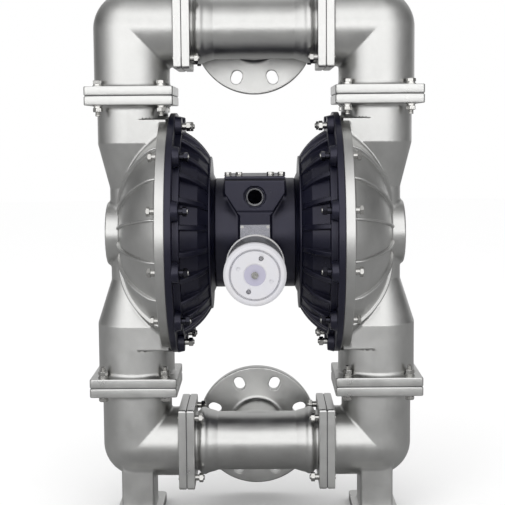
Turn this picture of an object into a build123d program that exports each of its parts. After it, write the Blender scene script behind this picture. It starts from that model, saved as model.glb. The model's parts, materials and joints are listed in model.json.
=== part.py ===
from build123d import *
from math import cos, radians, sin, sqrt
import os

# Air operated diaphragm pump with 80 mm ports, in millimetres.
# Heights are worked out from the shaft axis, and each piece is lifted by
# shaft_height when it is written, so that the feet stand on z = 0.
# X runs along the shaft, the silencer faces -Y and the ports face +Y.

# Overall layout
shaft_height = 460.0
column_offset = 192.5
upper_joint_rise = 216.5
lower_joint_drop = 238.5
discharge_rise = 321.0
inlet_drop = 338.5
manifold_joint_offset = 110.8

# Pipes, plates and walls of the wet castings
upper_elbow_radius = 59.6
upper_chamber_pipe_radius = 55.7
lower_chamber_pipe_radius = 60.6
lower_elbow_radius = 55.3
casting_wall = 7.0
joint_plate_width = 137.0
joint_plate_thickness = 14.0
joint_bolt_spacing = 98.0
manifold_plate_width = 128.0
manifold_plate_thickness = 12.0
manifold_bolt_spacing = 96.0
plate_corner_radius = 4.0
gasket_thickness = 1.0
gasket_inset = 1.5

# Clamped rims of the two chambers
clamp_offset = 132.0
rim_radius = 184.0
outer_rim_thickness = 15.0
inner_rim_radius = 190.0
inner_rim_thickness = 10.0
clamp_circle_radius = 174.5
clamp_bolt_count = 12
chamber_mouth_radius = 146.0
bead_inner_radius = 150.0
bead_outer_radius = 160.0
bead_half_depth = 4.0
bead_clearance = 0.3

# Outer, liquid side chamber
dome_root_radius = 165.0
dome_bulge_offset = 193.5
dome_bulge_radius = 115.5
boss_radius = 50.0
boss_start_offset = 212.0
boss_face_offset = 235.0
boss_edge_round = 3.0
web_end_rise = 180.5
stud_end_inset = 2.5
taper_start_rise = 142.5
taper_end_rise = 73.0
waist_radius = 38.0
dome_rib_count = 16
dome_rib_thickness = 4.0
dome_rib_height = 5.0
outer_chamber_wall = 8.0

# Inner, air side chamber
neck_radius = 86.5
center_half_length = 62.4
hub_disc_radius = 121.0
hub_disc_offset = 68.0
hub_disc_thickness = 2.6
hub_cone_radius = 99.0
air_rib_count = 24
air_rib_thickness = 6.0
air_rib_depth = 9.0
air_chamber_wall = 8.0
dish_bulge_offset = 84.0
dish_bulge_radius = 140.0
dish_end_radius = 162.0
lug_ring_radius = 166.0
lug_back_offset = 112.0
lug_radius = 14.5
air_chamber_floor = 78.0

# Centre body, its front block and the valve gear
block_half_width = 46.0
block_front = 100.0
block_rear = 46.0
block_top_rise = 86.9
block_shoulder_rise = 67.0
block_waist_rise = 32.5
block_waist_half_width = 23.7
block_groove_rise = 38.7
block_groove_width = 1.2
block_groove_depth = 1.0
block_head_setback = 20.0
chest_half_length = 30.0
chest_front = 62.0
chest_rear = 4.0
chest_overlap = 8.0
cover_thickness = 5.5
cover_bolt_edge = 5.5
cover_bolt_inner_x = 23.8
cover_bolt_row_inset = 7.0
cover_thread_depth = 14.0
cover_gasket_thickness = 0.7
cover_front = 96.0
cover_rear = 44.0
valve_axis_y = -28.0
valve_axis_rise = 50.0
sleeve_radius = 18.0
sleeve_port_pitch = 12.0
sleeve_port_radius = 2.5
sleeve_port_rows = 2
spool_radius = 12.0
spool_groove_radius = 8.0
spool_half_length = 34.0
spool_groove_offset = 14.0
spool_groove_half_width = 6.0
spool_travel = 8.0
spool_end_room = 8.0
end_plug_socket_radius = 6.0
end_plug_socket_depth = 6.0
inlet_rise = 61.5
inlet_thread_radius = 12.06
inlet_passage_radius = 11.0
inlet_bush_radius = 13.6
inlet_bush_length = 16.0
inlet_recess_radius = 16.2
inlet_recess_depth = 1.5
inlet_bush_stand = 0.3
label_width = 45.0
label_top_rise = 19.5
label_height = 26.0
label_thickness = 0.8
rivet_radius = 1.5
rivet_head_radius = 2.4
rivet_head_height = 0.8
rivet_length = 4.0
rivet_inset = 3.0

# Shaft, pistons, diaphragms and pilot pin
shaft_radius = 15.0
shaft_bush_radius = 19.0
shaft_bush_start = 32.0
shaft_bush_end = 60.0
shaft_bore_clearance = 2.0
shaft_seal_width = 5.8
running_clearance = 0.05
shaft_end_radius = 10.0
shaft_end_offset = 166.0
piston_radius = 92.0
piston_edge = 5.0
piston_step = 6.0
inner_piston_face_share = 0.68
inner_piston_step_share = 0.88
outer_piston_edge = 4.0
outer_piston_step = 3.0
outer_piston_step_share = 0.6
outer_piston_face_share = 0.3
piston_flat_margin = 2.0
piston_face_offset = 112.0
outer_piston_offset = 150.0
diaphragm_thickness = 5.0
diaphragm_convolution = 9.0
shaft_nut_flats = 32.0
shaft_nut_height = 14.0
stroke = 18.0
pilot_y = 35.0
pilot_drop = 30.0
pilot_radius = 5.0
pilot_bush_radius = 8.0
pilot_bush_length = 20.0
pilot_travel = 8.0
pilot_collar_half_length = 12.0
pilot_collar_clearance = 0.1
contact_clearance = 0.3

# Ball valves
ball_radius = 42.0
ball_lift = 16.0
seat_bore_radius = 36.0
seat_radius = 53.0
seat_height = 11.0
seat_clearance = 0.05
seat_land_depth = 3.0
guide_clearance = 0.8
guide_count = 4
guide_thickness = 8.0
guide_top = 26.0

# Manifold tubes and port flanges
tube_radius = 40.5
tube_straight_half = 38.0
tube_bead_radius = 53.0
tube_bead_end = 91.0
tube_bead_start = 82.0
tube_collar_radius = 47.0
port_bore_radius = 40.0
port_bore_length = 88.0
port_throat_radius = 38.0
port_throat_start = 14.0
port_neck_radius = 44.4
port_flange_radius = 100.0
port_flange_front = 102.5
port_flange_thickness = 20.0
port_face_radius = 63.0
port_face_height = 2.0
port_slot_count = 8
port_slot_circle_radius = 77.5
port_slot_width = 18.0
port_slot_length = 23.0
port_neck_start = 24.0
port_neck_flare = 4.0
port_neck_flare_length = 8.0
flare_lip = 1.5
flare_slope = 0.12

# Feet
foot_inset = 2.0
foot_width = 51.0
foot_corner_radius = 3.0
foot_base_corner_radius = 8.0
foot_depth = 84.0
foot_base_width = 73.0
foot_base_depth = 164.0
foot_base_thickness = 14.0
foot_hole_radius = 7.0
foot_hole_spacing = 126.0

# Silencer on the exhaust
silencer_drop = 39.0
silencer_radius = 44.4
silencer_length = 158.0
silencer_boss_radius = 34.0
silencer_spigot_radius = 19.0
silencer_spigot_length = 14.0
silencer_base_gap = 3.0
silencer_base_thickness = 7.0
silencer_neck_inset = 6.0
silencer_lip = 3.0
silencer_pocket_radius = 12.0
silencer_vent_count = 6
silencer_vent_circle = 22.0
silencer_vent_radius = 4.0
spigot_bore_room = 22.0
silencer_cap_depth = 24.0
silencer_cap_edge = 6.0
silencer_cap_rim = 3.0
silencer_cap_insert = 6.0
silencer_cap_fit = 0.2
silencer_disc_groove = 1.0
silencer_disc_setback = 0.6
silencer_disc_radius = 34.6
silencer_disc_recess = 3.0
silencer_medallion_radius = 15.5
silencer_medallion_setback = 1.4
silencer_hole_circle = 25.0
silencer_hole_radius = 3.6
silencer_hole_turn = 69.0
silencer_hole_depth = 8.0
silencer_dimple_depth = 2.0
screen_radius = 42.0
screen_thickness = 1.5
screen_window_count = 18
screen_window_rows = 5
screen_window_width = 9.0
screen_window_share = 0.72
tie_rod_radius = 3.5
tie_rod_head_radius = 5.0
tie_rod_head_height = 2.6
tie_rod_slot_width = 1.2
tie_rod_slot_depth = 1.2
tie_rod_slot_turn = 35.0

# Fasteners
bolt_radius = 4.0
bolt_flats = 13.0
bolt_head_height = 5.5
bolt_hole_radius = 4.5
nut_height = 6.5
washer_radius = 8.0
washer_height = 1.6
spring_washer_radius = 6.5
spring_washer_height = 2.2
collar_radius = 5.0
collar_height = 6.5
thread_projection = 6.5
short_projection = 2.0
tapped_projection = 1.5
small_bolt_radius = 3.0
small_bolt_flats = 10.0
small_bolt_head = 5.0
small_bolt_flange_radius = 6.0
small_bolt_flange_height = 1.2
small_hole_clearance = 0.2
flush_head_radius = 6.0
flush_head_depth = 3.0
small_bolt_length = 20.0
screw_circle_radius = 72.0
screw_count = 6
screw_head_radius = 6.5
screw_head_height = 8.0
screw_socket_flats = 6.0
screw_socket_depth = 5.0
screw_depth = 16.0
thread_clearance = 0.05


def bar_x(radius, start, end, y=0.0, z=0.0):
    middle = (start + end) / 2
    return Pos(middle, y, z) * Cylinder(radius, end - start, rotation=(0, 90, 0))


def bar_y(radius, start, end, x=0.0, z=0.0):
    middle = (start + end) / 2
    return Pos(x, middle, z) * Cylinder(radius, end - start, rotation=(90, 0, 0))


def bar_z(radius, start, end, x=0.0, y=0.0):
    return Pos(x, y, (start + end) / 2) * Cylinder(radius, end - start)


def block(x_low, x_high, y_low, y_high, z_low, z_high):
    center = ((x_low + x_high) / 2, (y_low + y_high) / 2, (z_low + z_high) / 2)
    return Pos(*center) * Box(x_high - x_low, y_high - y_low, z_high - z_low)


def turned_on_x(*points):
    """Solid of revolution about X from (x, radius) corners."""
    return revolve(make_face(Polyline(*points, close=True)), axis=Axis.X)


def turned_on_y(*points):
    """Solid of revolution about Y from (radius, y) corners."""
    return revolve(make_face(Polyline(*points, close=True)), axis=Axis.Y)


def turned_on_z(*points):
    """Solid of revolution about Z from (radius, z) corners."""
    return revolve(Plane.XZ * make_face(Polyline(*points, close=True)), axis=Axis.Z)


def square_plate(width, low, high):
    """Square plate with round corners, flat on XY and centred on Z."""
    plate = extrude(RectangleRounded(width, width, plate_corner_radius), high - low)
    return Pos(0, 0, low) * plate


def square_corners(spacing):
    half = spacing / 2
    return [(half, half), (-half, half), (-half, -half), (half, -half)]


def other_side(shape):
    return mirror(shape, about=Plane.YZ)


def hexagon(flats, height):
    return extrude(RegularPolygon(flats / 2, 6, major_radius=False), height)


def seat_stack(on_collar):
    """What lies between a plate and a hexagon: a spacer collar or two washers."""
    if on_collar:
        return bar_z(collar_radius, 0, collar_height), collar_height
    height = washer_height + spring_washer_height
    stack = bar_z(washer_radius, 0, washer_height)
    return stack + bar_z(spring_washer_radius, washer_height, height), height


def hex_bolt(shank_length, on_collar):
    """Bolt along -Z whose head side faces +Z. Its seat is the plane z = 0."""
    stack, height = seat_stack(on_collar)
    bolt = bar_z(bolt_radius, -shank_length, height + bolt_head_height) + stack
    return bolt + Pos(0, 0, height) * hexagon(bolt_flats, bolt_head_height)


def hex_nut(on_collar):
    """Nut with what it stands on, seated on z = 0 and standing up along +Z."""
    nut, height = seat_stack(on_collar)
    nut += Pos(0, 0, height) * hexagon(bolt_flats, nut_height)
    return nut - bar_z(bolt_radius + thread_clearance, -1, height + nut_height + 1)


def washer_stack():
    """Height of a nut with its two washers."""
    return washer_height + spring_washer_height + nut_height


def collar_stack():
    """Height of a nut with its spacer collar."""
    return collar_height + nut_height


def ball_center_above_seat():
    """Height of a seated ball's centre over the top of its seat ring."""
    return sqrt(ball_radius ** 2 - seat_bore_radius ** 2) - seat_land_depth


def ball_guides(pipe_radius):
    """Ribs that keep the ball on its axis and stop its lift, over a seat at z = 0."""
    rest = ball_center_above_seat()
    reach = pipe_radius - casting_wall / 2
    top = rest + ball_lift + guide_top
    rib = block(0, reach, -guide_thickness / 2, guide_thickness / 2, gasket_thickness, top)
    ribs = Part() + [Rot(0, 0, 45 + 360 / guide_count * i) * rib for i in range(guide_count)]
    channel_radius = ball_radius + guide_clearance
    channel = bar_z(channel_radius, -1, rest + ball_lift)
    channel += Pos(0, 0, rest + ball_lift) * Sphere(channel_radius)
    return ribs - channel


def ball_seat():
    """Seat ring under z = 0 with a round land that fits the ball."""
    ring = bar_z(seat_radius, -seat_height, 0)
    ring -= bar_z(seat_bore_radius, -seat_height - 1, 1)
    bowl = Sphere(ball_radius + seat_clearance)
    return ring - Pos(0, 0, ball_center_above_seat()) * bowl


def seated_ball():
    return Pos(0, 0, ball_center_above_seat()) * Sphere(ball_radius)


def write(name, shape):
    export_step(Pos(0, 0, shaft_height) * shape, f"parts/{name}.step")


# Outer chamber: dome, boss, pipes to both valves and the webs beside them
def dome_profile(grow, root_offset, end_offset, end_radius):
    """Half section of the dome, grown by a distance from its outer face."""
    start = (root_offset, dome_root_radius + grow)
    middle = (dome_bulge_offset + grow * 0.8, dome_bulge_radius + grow * 0.6)
    end = (end_offset, end_radius)
    arc = ThreePointArc(start, middle, end)
    base = Polyline(end, (end_offset, 0), (root_offset, 0), start)
    return make_face(arc + base)


def outer_rim_face():
    return clamp_offset + outer_rim_thickness


def pipe_column(radius, end_rise, shrink):
    """Pipe, taper and waist on one vertical axis, rising from the shaft axis."""
    outer = radius - shrink
    waist = waist_radius - shrink
    return turned_on_z(
        (0, 0),
        (waist, 0),
        (waist, taper_end_rise),
        (outer, taper_start_rise),
        (outer, end_rise),
        (0, end_rise),
    )


def pipe_web(radius, shrink, start_offset):
    """Web from the rim to the pipe, as wide as the pipe at every height."""
    outer = radius - shrink
    waist = waist_radius - shrink
    low = taper_end_rise - waist_radius / 2 + shrink
    end = web_end_rise - shrink
    outline = Polyline(
        (-waist, low),
        (waist, low),
        (waist, taper_end_rise),
        (outer, taper_start_rise),
        (outer, end),
        (-outer, end),
        (-outer, taper_start_rise),
        (-waist, taper_end_rise),
        close=True,
    )
    web = extrude(Plane.YZ * make_face(outline), column_offset - start_offset)
    return Pos(start_offset, 0, 0) * web


def boss_shape():
    boss = bar_x(boss_radius, boss_start_offset - 10, boss_face_offset)
    return fillet(boss.edges().filter_by(GeomType.CIRCLE).sort_by(Axis.X)[-1], boss_edge_round)


def outer_chamber():
    rim_face = outer_rim_face()
    body = bar_x(rim_radius, clamp_offset, rim_face)
    body += revolve(dome_profile(0, rim_face, boss_start_offset, boss_radius), axis=Axis.X)
    ribbed_profile = dome_profile(
        dome_rib_height, rim_face, boss_start_offset + dome_rib_height, boss_radius
    )
    ribbed = revolve(ribbed_profile, axis=Axis.X)
    plate = block(rim_face, boss_face_offset, -dome_rib_thickness / 2, dome_rib_thickness / 2,
                  -rim_radius, rim_radius)
    step = 360 / dome_rib_count
    plates = Part() + [Rot(step * (i + 0.5), 0, 0) * plate for i in range(dome_rib_count // 2)]
    body += ribbed & plates
    body += boss_shape()
    up = Pos(column_offset, 0, 0)
    down = up * Rot(180, 0, 0)
    upper_end = upper_joint_rise - gasket_thickness / 2
    lower_end = lower_joint_drop - gasket_thickness / 2
    body += up * pipe_column(upper_chamber_pipe_radius, upper_end, 0)
    body += down * pipe_column(lower_chamber_pipe_radius, lower_end, 0)
    body += pipe_web(upper_chamber_pipe_radius, 0, rim_face)
    body += Rot(180, 0, 0) * pipe_web(lower_chamber_pipe_radius, 0, rim_face)
    body += up * square_plate(joint_plate_width, upper_end - joint_plate_thickness, upper_end)
    body += down * square_plate(joint_plate_width, lower_end - joint_plate_thickness, lower_end)

    inner_face = rim_face + outer_chamber_wall
    dome_room = dome_profile(-outer_chamber_wall, rim_face, boss_start_offset, boss_radius / 2)
    room = revolve(dome_room, axis=Axis.X)
    room += turned_on_x(
        (clamp_offset - 1, 0),
        (clamp_offset - 1, chamber_mouth_radius),
        (rim_face + 1, dome_root_radius - outer_chamber_wall),
        (rim_face + 1, 0),
    )
    upper_room = pipe_column(upper_chamber_pipe_radius, upper_end + 1, casting_wall)
    lower_room = pipe_column(lower_chamber_pipe_radius, lower_end + 1, casting_wall)
    room += up * upper_room
    room += down * lower_room
    room += pipe_web(upper_chamber_pipe_radius, casting_wall, inner_face)
    room += Rot(180, 0, 0) * pipe_web(lower_chamber_pipe_radius, casting_wall, inner_face)
    body -= room
    body -= up * bar_z(seat_radius, upper_end - seat_height, upper_end + 1)
    guides = Pos(column_offset, 0, -lower_end) * ball_guides(lower_chamber_pipe_radius)
    body += guides
    body -= bead_groove()
    body -= bar_x(inner_rim_radius + 1, clamp_offset - 10, clamp_offset)
    body -= clamp_holes(clamp_offset - 1, rim_face + 1, through_positions())
    body -= clamp_holes(clamp_offset - 1, rim_face - 2, blind_positions())
    for x, y in square_corners(joint_bolt_spacing):
        hole = bar_z(bolt_hole_radius, -lower_end - 1, -lower_end + joint_plate_thickness + 1,
                     column_offset + x, y)
        body -= hole
        body -= bar_z(bolt_hole_radius, upper_end - joint_plate_thickness - 1, upper_end + 1,
                      column_offset + x, y)
    return body


# Clamped rim: bead groove and bolts
def bead_groove():
    return turned_on_x(
        (clamp_offset - bead_half_depth, bead_inner_radius),
        (clamp_offset - bead_half_depth, bead_outer_radius),
        (clamp_offset + bead_half_depth, bead_outer_radius),
        (clamp_offset + bead_half_depth, bead_inner_radius),
    )


def clamp_angle(index):
    return 360 / clamp_bolt_count * (index + 0.5)


def clamp_position(index):
    angle = radians(clamp_angle(index))
    return clamp_circle_radius * sin(angle), clamp_circle_radius * cos(angle)


def beside_a_pipe(index):
    """A bolt beside the vertical ends under a web and screws into a blind hole."""
    return abs(clamp_position(index)[0]) < upper_chamber_pipe_radius


def through_positions():
    return [clamp_position(i) for i in range(clamp_bolt_count) if not beside_a_pipe(i)]


def blind_positions():
    return [clamp_position(i) for i in range(clamp_bolt_count) if beside_a_pipe(i)]


def clamp_holes(start, end, positions):
    return Part() + [bar_x(bolt_hole_radius, start, end, y, z) for y, z in positions]


def facing_plus_x(shape, x, y, z):
    return Pos(x, y, z) * Rot(0, 90, 0) * shape


def facing_minus_x(shape, x, y, z):
    return Pos(x, y, z) * Rot(0, -90, 0) * shape


def chamber_bolts():
    """Bolts from the liquid side, and studs where a web covers the rim."""
    rim_face = outer_rim_face()
    tip = collar_stack() + short_projection
    length = rim_face - lug_back_offset + tip
    bolts = [facing_plus_x(hex_bolt(length, True), rim_face, y, z)
             for y, z in through_positions()]
    studs = [bar_x(bolt_radius, lug_back_offset - tip, rim_face - stud_end_inset, y, z)
             for y, z in blind_positions()]
    return bolts + studs


def chamber_nuts():
    positions = [clamp_position(i) for i in range(clamp_bolt_count)]
    return [facing_minus_x(hex_nut(True), lug_back_offset, y, z) for y, z in positions]


# Inner chamber: ribbed dish, hub disc and bolt lugs
def dish_profile(lift, low=0.0):
    """Half section of the dish, sunk by a depth under the crests of its ribs."""
    start = (max(hub_disc_offset + hub_disc_thickness, low), hub_disc_radius - lift)
    middle = (dish_bulge_offset + lift * 0.35, dish_bulge_radius - lift)
    end = (lug_back_offset, dish_end_radius - lift)
    arc = ThreePointArc(start, middle, end)
    base = Polyline(end, (lug_back_offset, 0), (start[0], 0), start)
    return make_face(arc + base)


def inner_chamber():
    rim_back = clamp_offset - inner_rim_thickness
    body = bar_x(inner_rim_radius, rim_back, clamp_offset)
    body += bar_x(lug_ring_radius, lug_back_offset, rim_back)
    lugs = [bar_x(lug_radius, lug_back_offset, rim_back, *clamp_position(i))
            for i in range(clamp_bolt_count)]
    body += Part() + lugs
    body += revolve(dish_profile(air_rib_depth), axis=Axis.X)
    crests = revolve(dish_profile(0.0), axis=Axis.X)
    plate = block(hub_disc_offset, rim_back, -air_rib_thickness / 2, air_rib_thickness / 2,
                  -inner_rim_radius, inner_rim_radius)
    step = 360 / air_rib_count
    plates = Part() + [Rot(step * (i + 0.5), 0, 0) * plate for i in range(air_rib_count // 2)]
    body += crests & plates
    body += bar_x(hub_disc_radius, hub_disc_offset, hub_disc_offset + hub_disc_thickness)
    body += turned_on_x(
        (center_half_length, 0),
        (center_half_length, neck_radius),
        (hub_disc_offset, hub_cone_radius),
        (hub_disc_offset + 1, hub_cone_radius),
        (hub_disc_offset + 1, 0),
    )
    body -= revolve(dish_profile(air_rib_depth + air_chamber_wall, air_chamber_floor), axis=Axis.X)
    body -= bar_x(chamber_mouth_radius, lug_back_offset, clamp_offset + 1)
    body -= bead_groove()
    body -= clamp_holes(lug_back_offset - 1, clamp_offset + 1,
                        through_positions() + blind_positions())
    body -= bar_x(shaft_bush_radius, center_half_length - 1, air_chamber_floor + 1)
    body -= bar_x(pilot_bush_radius, center_half_length - 1, air_chamber_floor + 1,
                  pilot_y, -pilot_drop)
    for y, z in screw_positions():
        body -= bar_x(bolt_hole_radius, center_half_length - 1, air_chamber_floor + 1, y, z)
    return body


def screw_positions():
    angles = [radians(360 / screw_count * (i + 0.5)) for i in range(screw_count)]
    return [(screw_circle_radius * cos(a), screw_circle_radius * sin(a)) for a in angles]


def center_screws():
    """Cap screws that hold one inner chamber to the centre body."""
    screws = []
    for y, z in screw_positions():
        screw = bar_x(bolt_radius, center_half_length - screw_depth, air_chamber_floor, y, z)
        head_end = air_chamber_floor + screw_head_height
        screw += bar_x(screw_head_radius, air_chamber_floor, head_end, y, z)
        socket = Rot(0, 90, 0) * hexagon(screw_socket_flats, screw_socket_depth)
        screws.append(screw - Pos(head_end - screw_socket_depth + 1, y, z) * socket)
    return screws


# Diaphragm and its two pistons
def diaphragm():
    half = diaphragm_thickness / 2
    flat = piston_radius + piston_flat_margin
    bead = bead_half_depth - bead_clearance
    low = bead_inner_radius + bead_clearance
    high = bead_outer_radius - bead_clearance
    mouth = chamber_mouth_radius - bead_clearance
    crest = clamp_offset - diaphragm_convolution
    middle = (flat + mouth) / 2
    back = ThreePointArc(
        (clamp_offset - half, flat),
        (crest - half, middle),
        (clamp_offset - half, mouth),
    )
    front = ThreePointArc(
        (clamp_offset + half, mouth),
        (crest + half, middle),
        (clamp_offset + half, flat),
    )
    hub = Polyline(
        (clamp_offset + half, flat),
        (clamp_offset + half, shaft_end_radius + running_clearance),
        (clamp_offset - half, shaft_end_radius + running_clearance),
        (clamp_offset - half, flat),
    )
    lip = Polyline((clamp_offset - half, mouth), (clamp_offset + half, mouth))
    web = revolve(make_face(back + lip + front + hub), axis=Axis.X)
    edge = turned_on_x(
        (clamp_offset - half, mouth),
        (clamp_offset - half, low),
        (clamp_offset - bead, low),
        (clamp_offset - bead, high),
        (clamp_offset + bead, high),
        (clamp_offset + bead, low),
        (clamp_offset + half, low),
        (clamp_offset + half, mouth),
    )
    return web + edge


def clamped_room():
    """Room that both rims leave for the diaphragm's edge inside the bead groove."""
    half = diaphragm_thickness / 2
    return turned_on_x(
        (clamp_offset - half, chamber_mouth_radius - 3),
        (clamp_offset - half, bead_inner_radius + 1),
        (clamp_offset + half, bead_inner_radius + 1),
        (clamp_offset + half, chamber_mouth_radius - 3),
    )


def inner_piston():
    seat = clamp_offset - diaphragm_thickness / 2
    bore = shaft_end_radius + running_clearance
    return turned_on_x(
        (piston_face_offset, bore),
        (piston_face_offset, piston_radius * inner_piston_face_share),
        (piston_face_offset + piston_step, piston_radius * inner_piston_step_share),
        (seat - piston_edge, piston_radius),
        (seat, piston_radius),
        (seat, bore),
    )


def outer_piston():
    seat = clamp_offset + diaphragm_thickness / 2
    bore = shaft_end_radius + running_clearance
    return turned_on_x(
        (seat, bore),
        (seat, piston_radius),
        (seat + outer_piston_edge, piston_radius),
        (outer_piston_offset - outer_piston_step, piston_radius * outer_piston_step_share),
        (outer_piston_offset, piston_radius * outer_piston_face_share),
        (outer_piston_offset, bore),
    )


def shaft():
    bar = bar_x(shaft_radius, -piston_face_offset, piston_face_offset)
    return bar + bar_x(shaft_end_radius, -shaft_end_offset, shaft_end_offset)


def shaft_nut():
    nut = Pos(outer_piston_offset, 0, 0) * Rot(0, 90, 0) * hexagon(shaft_nut_flats, shaft_nut_height)
    bore = shaft_end_radius + running_clearance
    return nut - bar_x(bore, outer_piston_offset - 1, outer_piston_offset + shaft_nut_height + 1)


def ring_x(inner, outer, start, end, y=0.0, z=0.0):
    return bar_x(outer, start, end, y, z) - bar_x(inner, start - 1, end + 1, y, z)


def ring_y(inner, outer, start, end):
    return bar_y(outer, start, end) - bar_y(inner, start - 1, end + 1)


def shaft_bush():
    return ring_x(shaft_radius + running_clearance, shaft_bush_radius,
                  shaft_bush_start, shaft_bush_end)


def shaft_seal():
    return ring_x(shaft_radius + 2 * running_clearance, shaft_bush_radius,
                  shaft_bush_start - shaft_seal_width, shaft_bush_start)


# Pilot pin, spool and sleeve
def pilot_half_length():
    """The piston pushes the pin to its limit just as the stroke ends."""
    return piston_face_offset - stroke + pilot_travel - contact_clearance


def pilot_pin():
    half = pilot_half_length()
    pin = bar_x(pilot_radius, -half, half, pilot_y, -pilot_drop)
    collar = bar_x(pilot_bush_radius - pilot_collar_clearance, -pilot_collar_half_length,
                   pilot_collar_half_length, pilot_y, -pilot_drop)
    return pin + collar


def pilot_bush():
    return ring_x(pilot_radius + running_clearance, pilot_bush_radius,
                  center_half_length - pilot_bush_length, center_half_length,
                  pilot_y, -pilot_drop)


def sleeve_half_length():
    """The sleeve leaves the spool its travel and some room at each end."""
    return spool_half_length + spool_travel + spool_end_room


def valve_sleeve():
    half = sleeve_half_length()
    sleeve = ring_x(spool_radius + running_clearance, sleeve_radius, -half, half)
    for row in range(-sleeve_port_rows, sleeve_port_rows + 1):
        x = row * sleeve_port_pitch
        sleeve -= bar_z(sleeve_port_radius, -sleeve_radius - 1, sleeve_radius + 1, x)
        sleeve -= bar_y(sleeve_port_radius, -sleeve_radius - 1, sleeve_radius + 1, x)
    return Pos(0, valve_axis_y, valve_axis_rise) * sleeve


def valve_spool():
    spool = bar_x(spool_radius, -spool_half_length, spool_half_length)
    for x in (-spool_groove_offset, spool_groove_offset):
        spool -= ring_x(spool_groove_radius, spool_radius + 1,
                        x - spool_groove_half_width, x + spool_groove_half_width)
    return Pos(0, valve_axis_y, valve_axis_rise) * spool


def valve_end_plug():
    half = sleeve_half_length()
    plug = bar_x(sleeve_radius, half, center_half_length)
    plug -= bar_x(end_plug_socket_radius, half - 1, half + end_plug_socket_depth)
    return Pos(0, valve_axis_y, valve_axis_rise) * plug


# Centre body with its front block
def center_body():
    body = bar_x(neck_radius, -center_half_length, center_half_length)
    outline = Polyline(
        (-block_half_width, block_top_rise),
        (block_half_width, block_top_rise),
        (block_half_width, block_shoulder_rise),
        (block_waist_half_width, block_waist_rise),
        (block_waist_half_width, -silencer_drop),
        (-block_waist_half_width, -silencer_drop),
        (-block_waist_half_width, block_waist_rise),
        (-block_half_width, block_shoulder_rise),
        close=True,
    )
    front = extrude(Plane.XZ * make_face(outline), block_front)
    body += front
    body += block(-block_half_width, block_half_width, -block_front + block_head_setback,
                  block_rear, 0, block_top_rise)
    body += bar_y(silencer_boss_radius, -block_front, 0, 0, -silencer_drop)
    valve_bore = bar_x(sleeve_radius, -center_half_length - 1, center_half_length + 1,
                       valve_axis_y, valve_axis_rise)
    body -= valve_bore
    body -= bar_x(shaft_radius + shaft_bore_clearance, -center_half_length - 1,
                  center_half_length + 1)
    groove = block_groove_width / 2
    body -= block(-block_half_width, block_half_width, -block_front - 1,
                  -block_front + block_groove_depth,
                  block_groove_rise - groove, block_groove_rise + groove)
    pocket = shaft_bush_start - shaft_seal_width
    body -= bar_x(shaft_bush_radius, pocket, center_half_length + 1)
    body -= bar_x(shaft_bush_radius, -center_half_length - 1, -pocket)
    body -= bar_x(pilot_bush_radius, -center_half_length - 1, center_half_length + 1,
                  pilot_y, -pilot_drop)
    body -= block(-chest_half_length, chest_half_length, -chest_front, chest_rear,
                  valve_axis_rise + sleeve_radius - chest_overlap, block_top_rise + 1)
    body -= bar_y(inlet_bush_radius, -block_front - 1, -block_front + inlet_bush_length,
                  0, inlet_rise)
    body -= bar_y(inlet_passage_radius, -block_front, valve_axis_y, 0, inlet_rise)
    body -= bar_y(inlet_recess_radius, -block_front - 1, -block_front + inlet_recess_depth,
                  0, inlet_rise)
    body -= bar_y(silencer_spigot_radius + running_clearance, -block_front - 1,
                  -block_front + silencer_spigot_length + spigot_bore_room, 0, -silencer_drop)
    for x, y in cover_bolt_positions():
        body -= bar_z(small_bolt_radius + thread_clearance, block_top_rise - cover_thread_depth,
                      block_top_rise + 1, x, y)
    for y, z in screw_positions():
        for side in (-1, 1):
            end = side * (center_half_length + 1)
            start = side * (center_half_length - screw_depth - 1)
            body -= bar_x(bolt_radius + thread_clearance, min(start, end), max(start, end), y, z)
    for x, z in rivet_positions():
        body -= bar_y(rivet_radius, -block_front - 1, -block_front + rivet_length, x, z)
    return body


def cover_columns():
    outer = block_half_width - cover_bolt_edge
    return -outer, -cover_bolt_inner_x, cover_bolt_inner_x, outer


def front_cover_bolts():
    return [(x, -cover_front + cover_bolt_row_inset) for x in cover_columns()]


def rear_cover_screws():
    return [(x, cover_rear - cover_bolt_row_inset) for x in cover_columns()]


def cover_bolt_positions():
    return front_cover_bolts() + rear_cover_screws()


def cover_plate(low, high):
    plate = block(-block_half_width, block_half_width, -cover_front, cover_rear, low, high)
    for x, y in cover_bolt_positions():
        plate -= bar_z(small_bolt_radius + small_hole_clearance, low - 1, high + 1, x, y)
    return plate


def flush_head(spread):
    """Cone of a countersunk head under z = 0, grown sideways by a clearance."""
    return turned_on_z(
        (0, 0),
        (flush_head_radius + spread, 0),
        (small_bolt_radius + spread, -flush_head_depth),
        (0, -flush_head_depth),
    )


def cover_seat():
    return block_top_rise + cover_gasket_thickness + cover_thickness


def valve_cover():
    """Cover plate whose front bolts stand proud and whose rear screws are sunk."""
    seat = cover_seat()
    plate = cover_plate(seat - cover_thickness, seat)
    for x, y in rear_cover_screws():
        plate -= Pos(x, y, seat) * flush_head(small_hole_clearance)
    return plate


def valve_cover_bolts():
    seat = cover_seat()
    shank = bar_z(small_bolt_radius, -small_bolt_length, 0)
    hexagon_head = bar_z(small_bolt_flange_radius, 0, small_bolt_flange_height)
    hexagon_head += Pos(0, 0, small_bolt_flange_height) * hexagon(small_bolt_flats, small_bolt_head)
    bolts = [Pos(x, y, seat) * (shank + hexagon_head) for x, y in front_cover_bolts()]
    return bolts + [Pos(x, y, seat) * (shank + flush_head(0)) for x, y in rear_cover_screws()]


def air_inlet_bush():
    bush = bar_y(inlet_bush_radius, -block_front - inlet_bush_stand,
                 -block_front + inlet_bush_length, 0, inlet_rise)
    bore = bar_y(inlet_thread_radius, -block_front - 1, -block_front + inlet_bush_length + 1,
                 0, inlet_rise)
    return bush - bore


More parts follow.
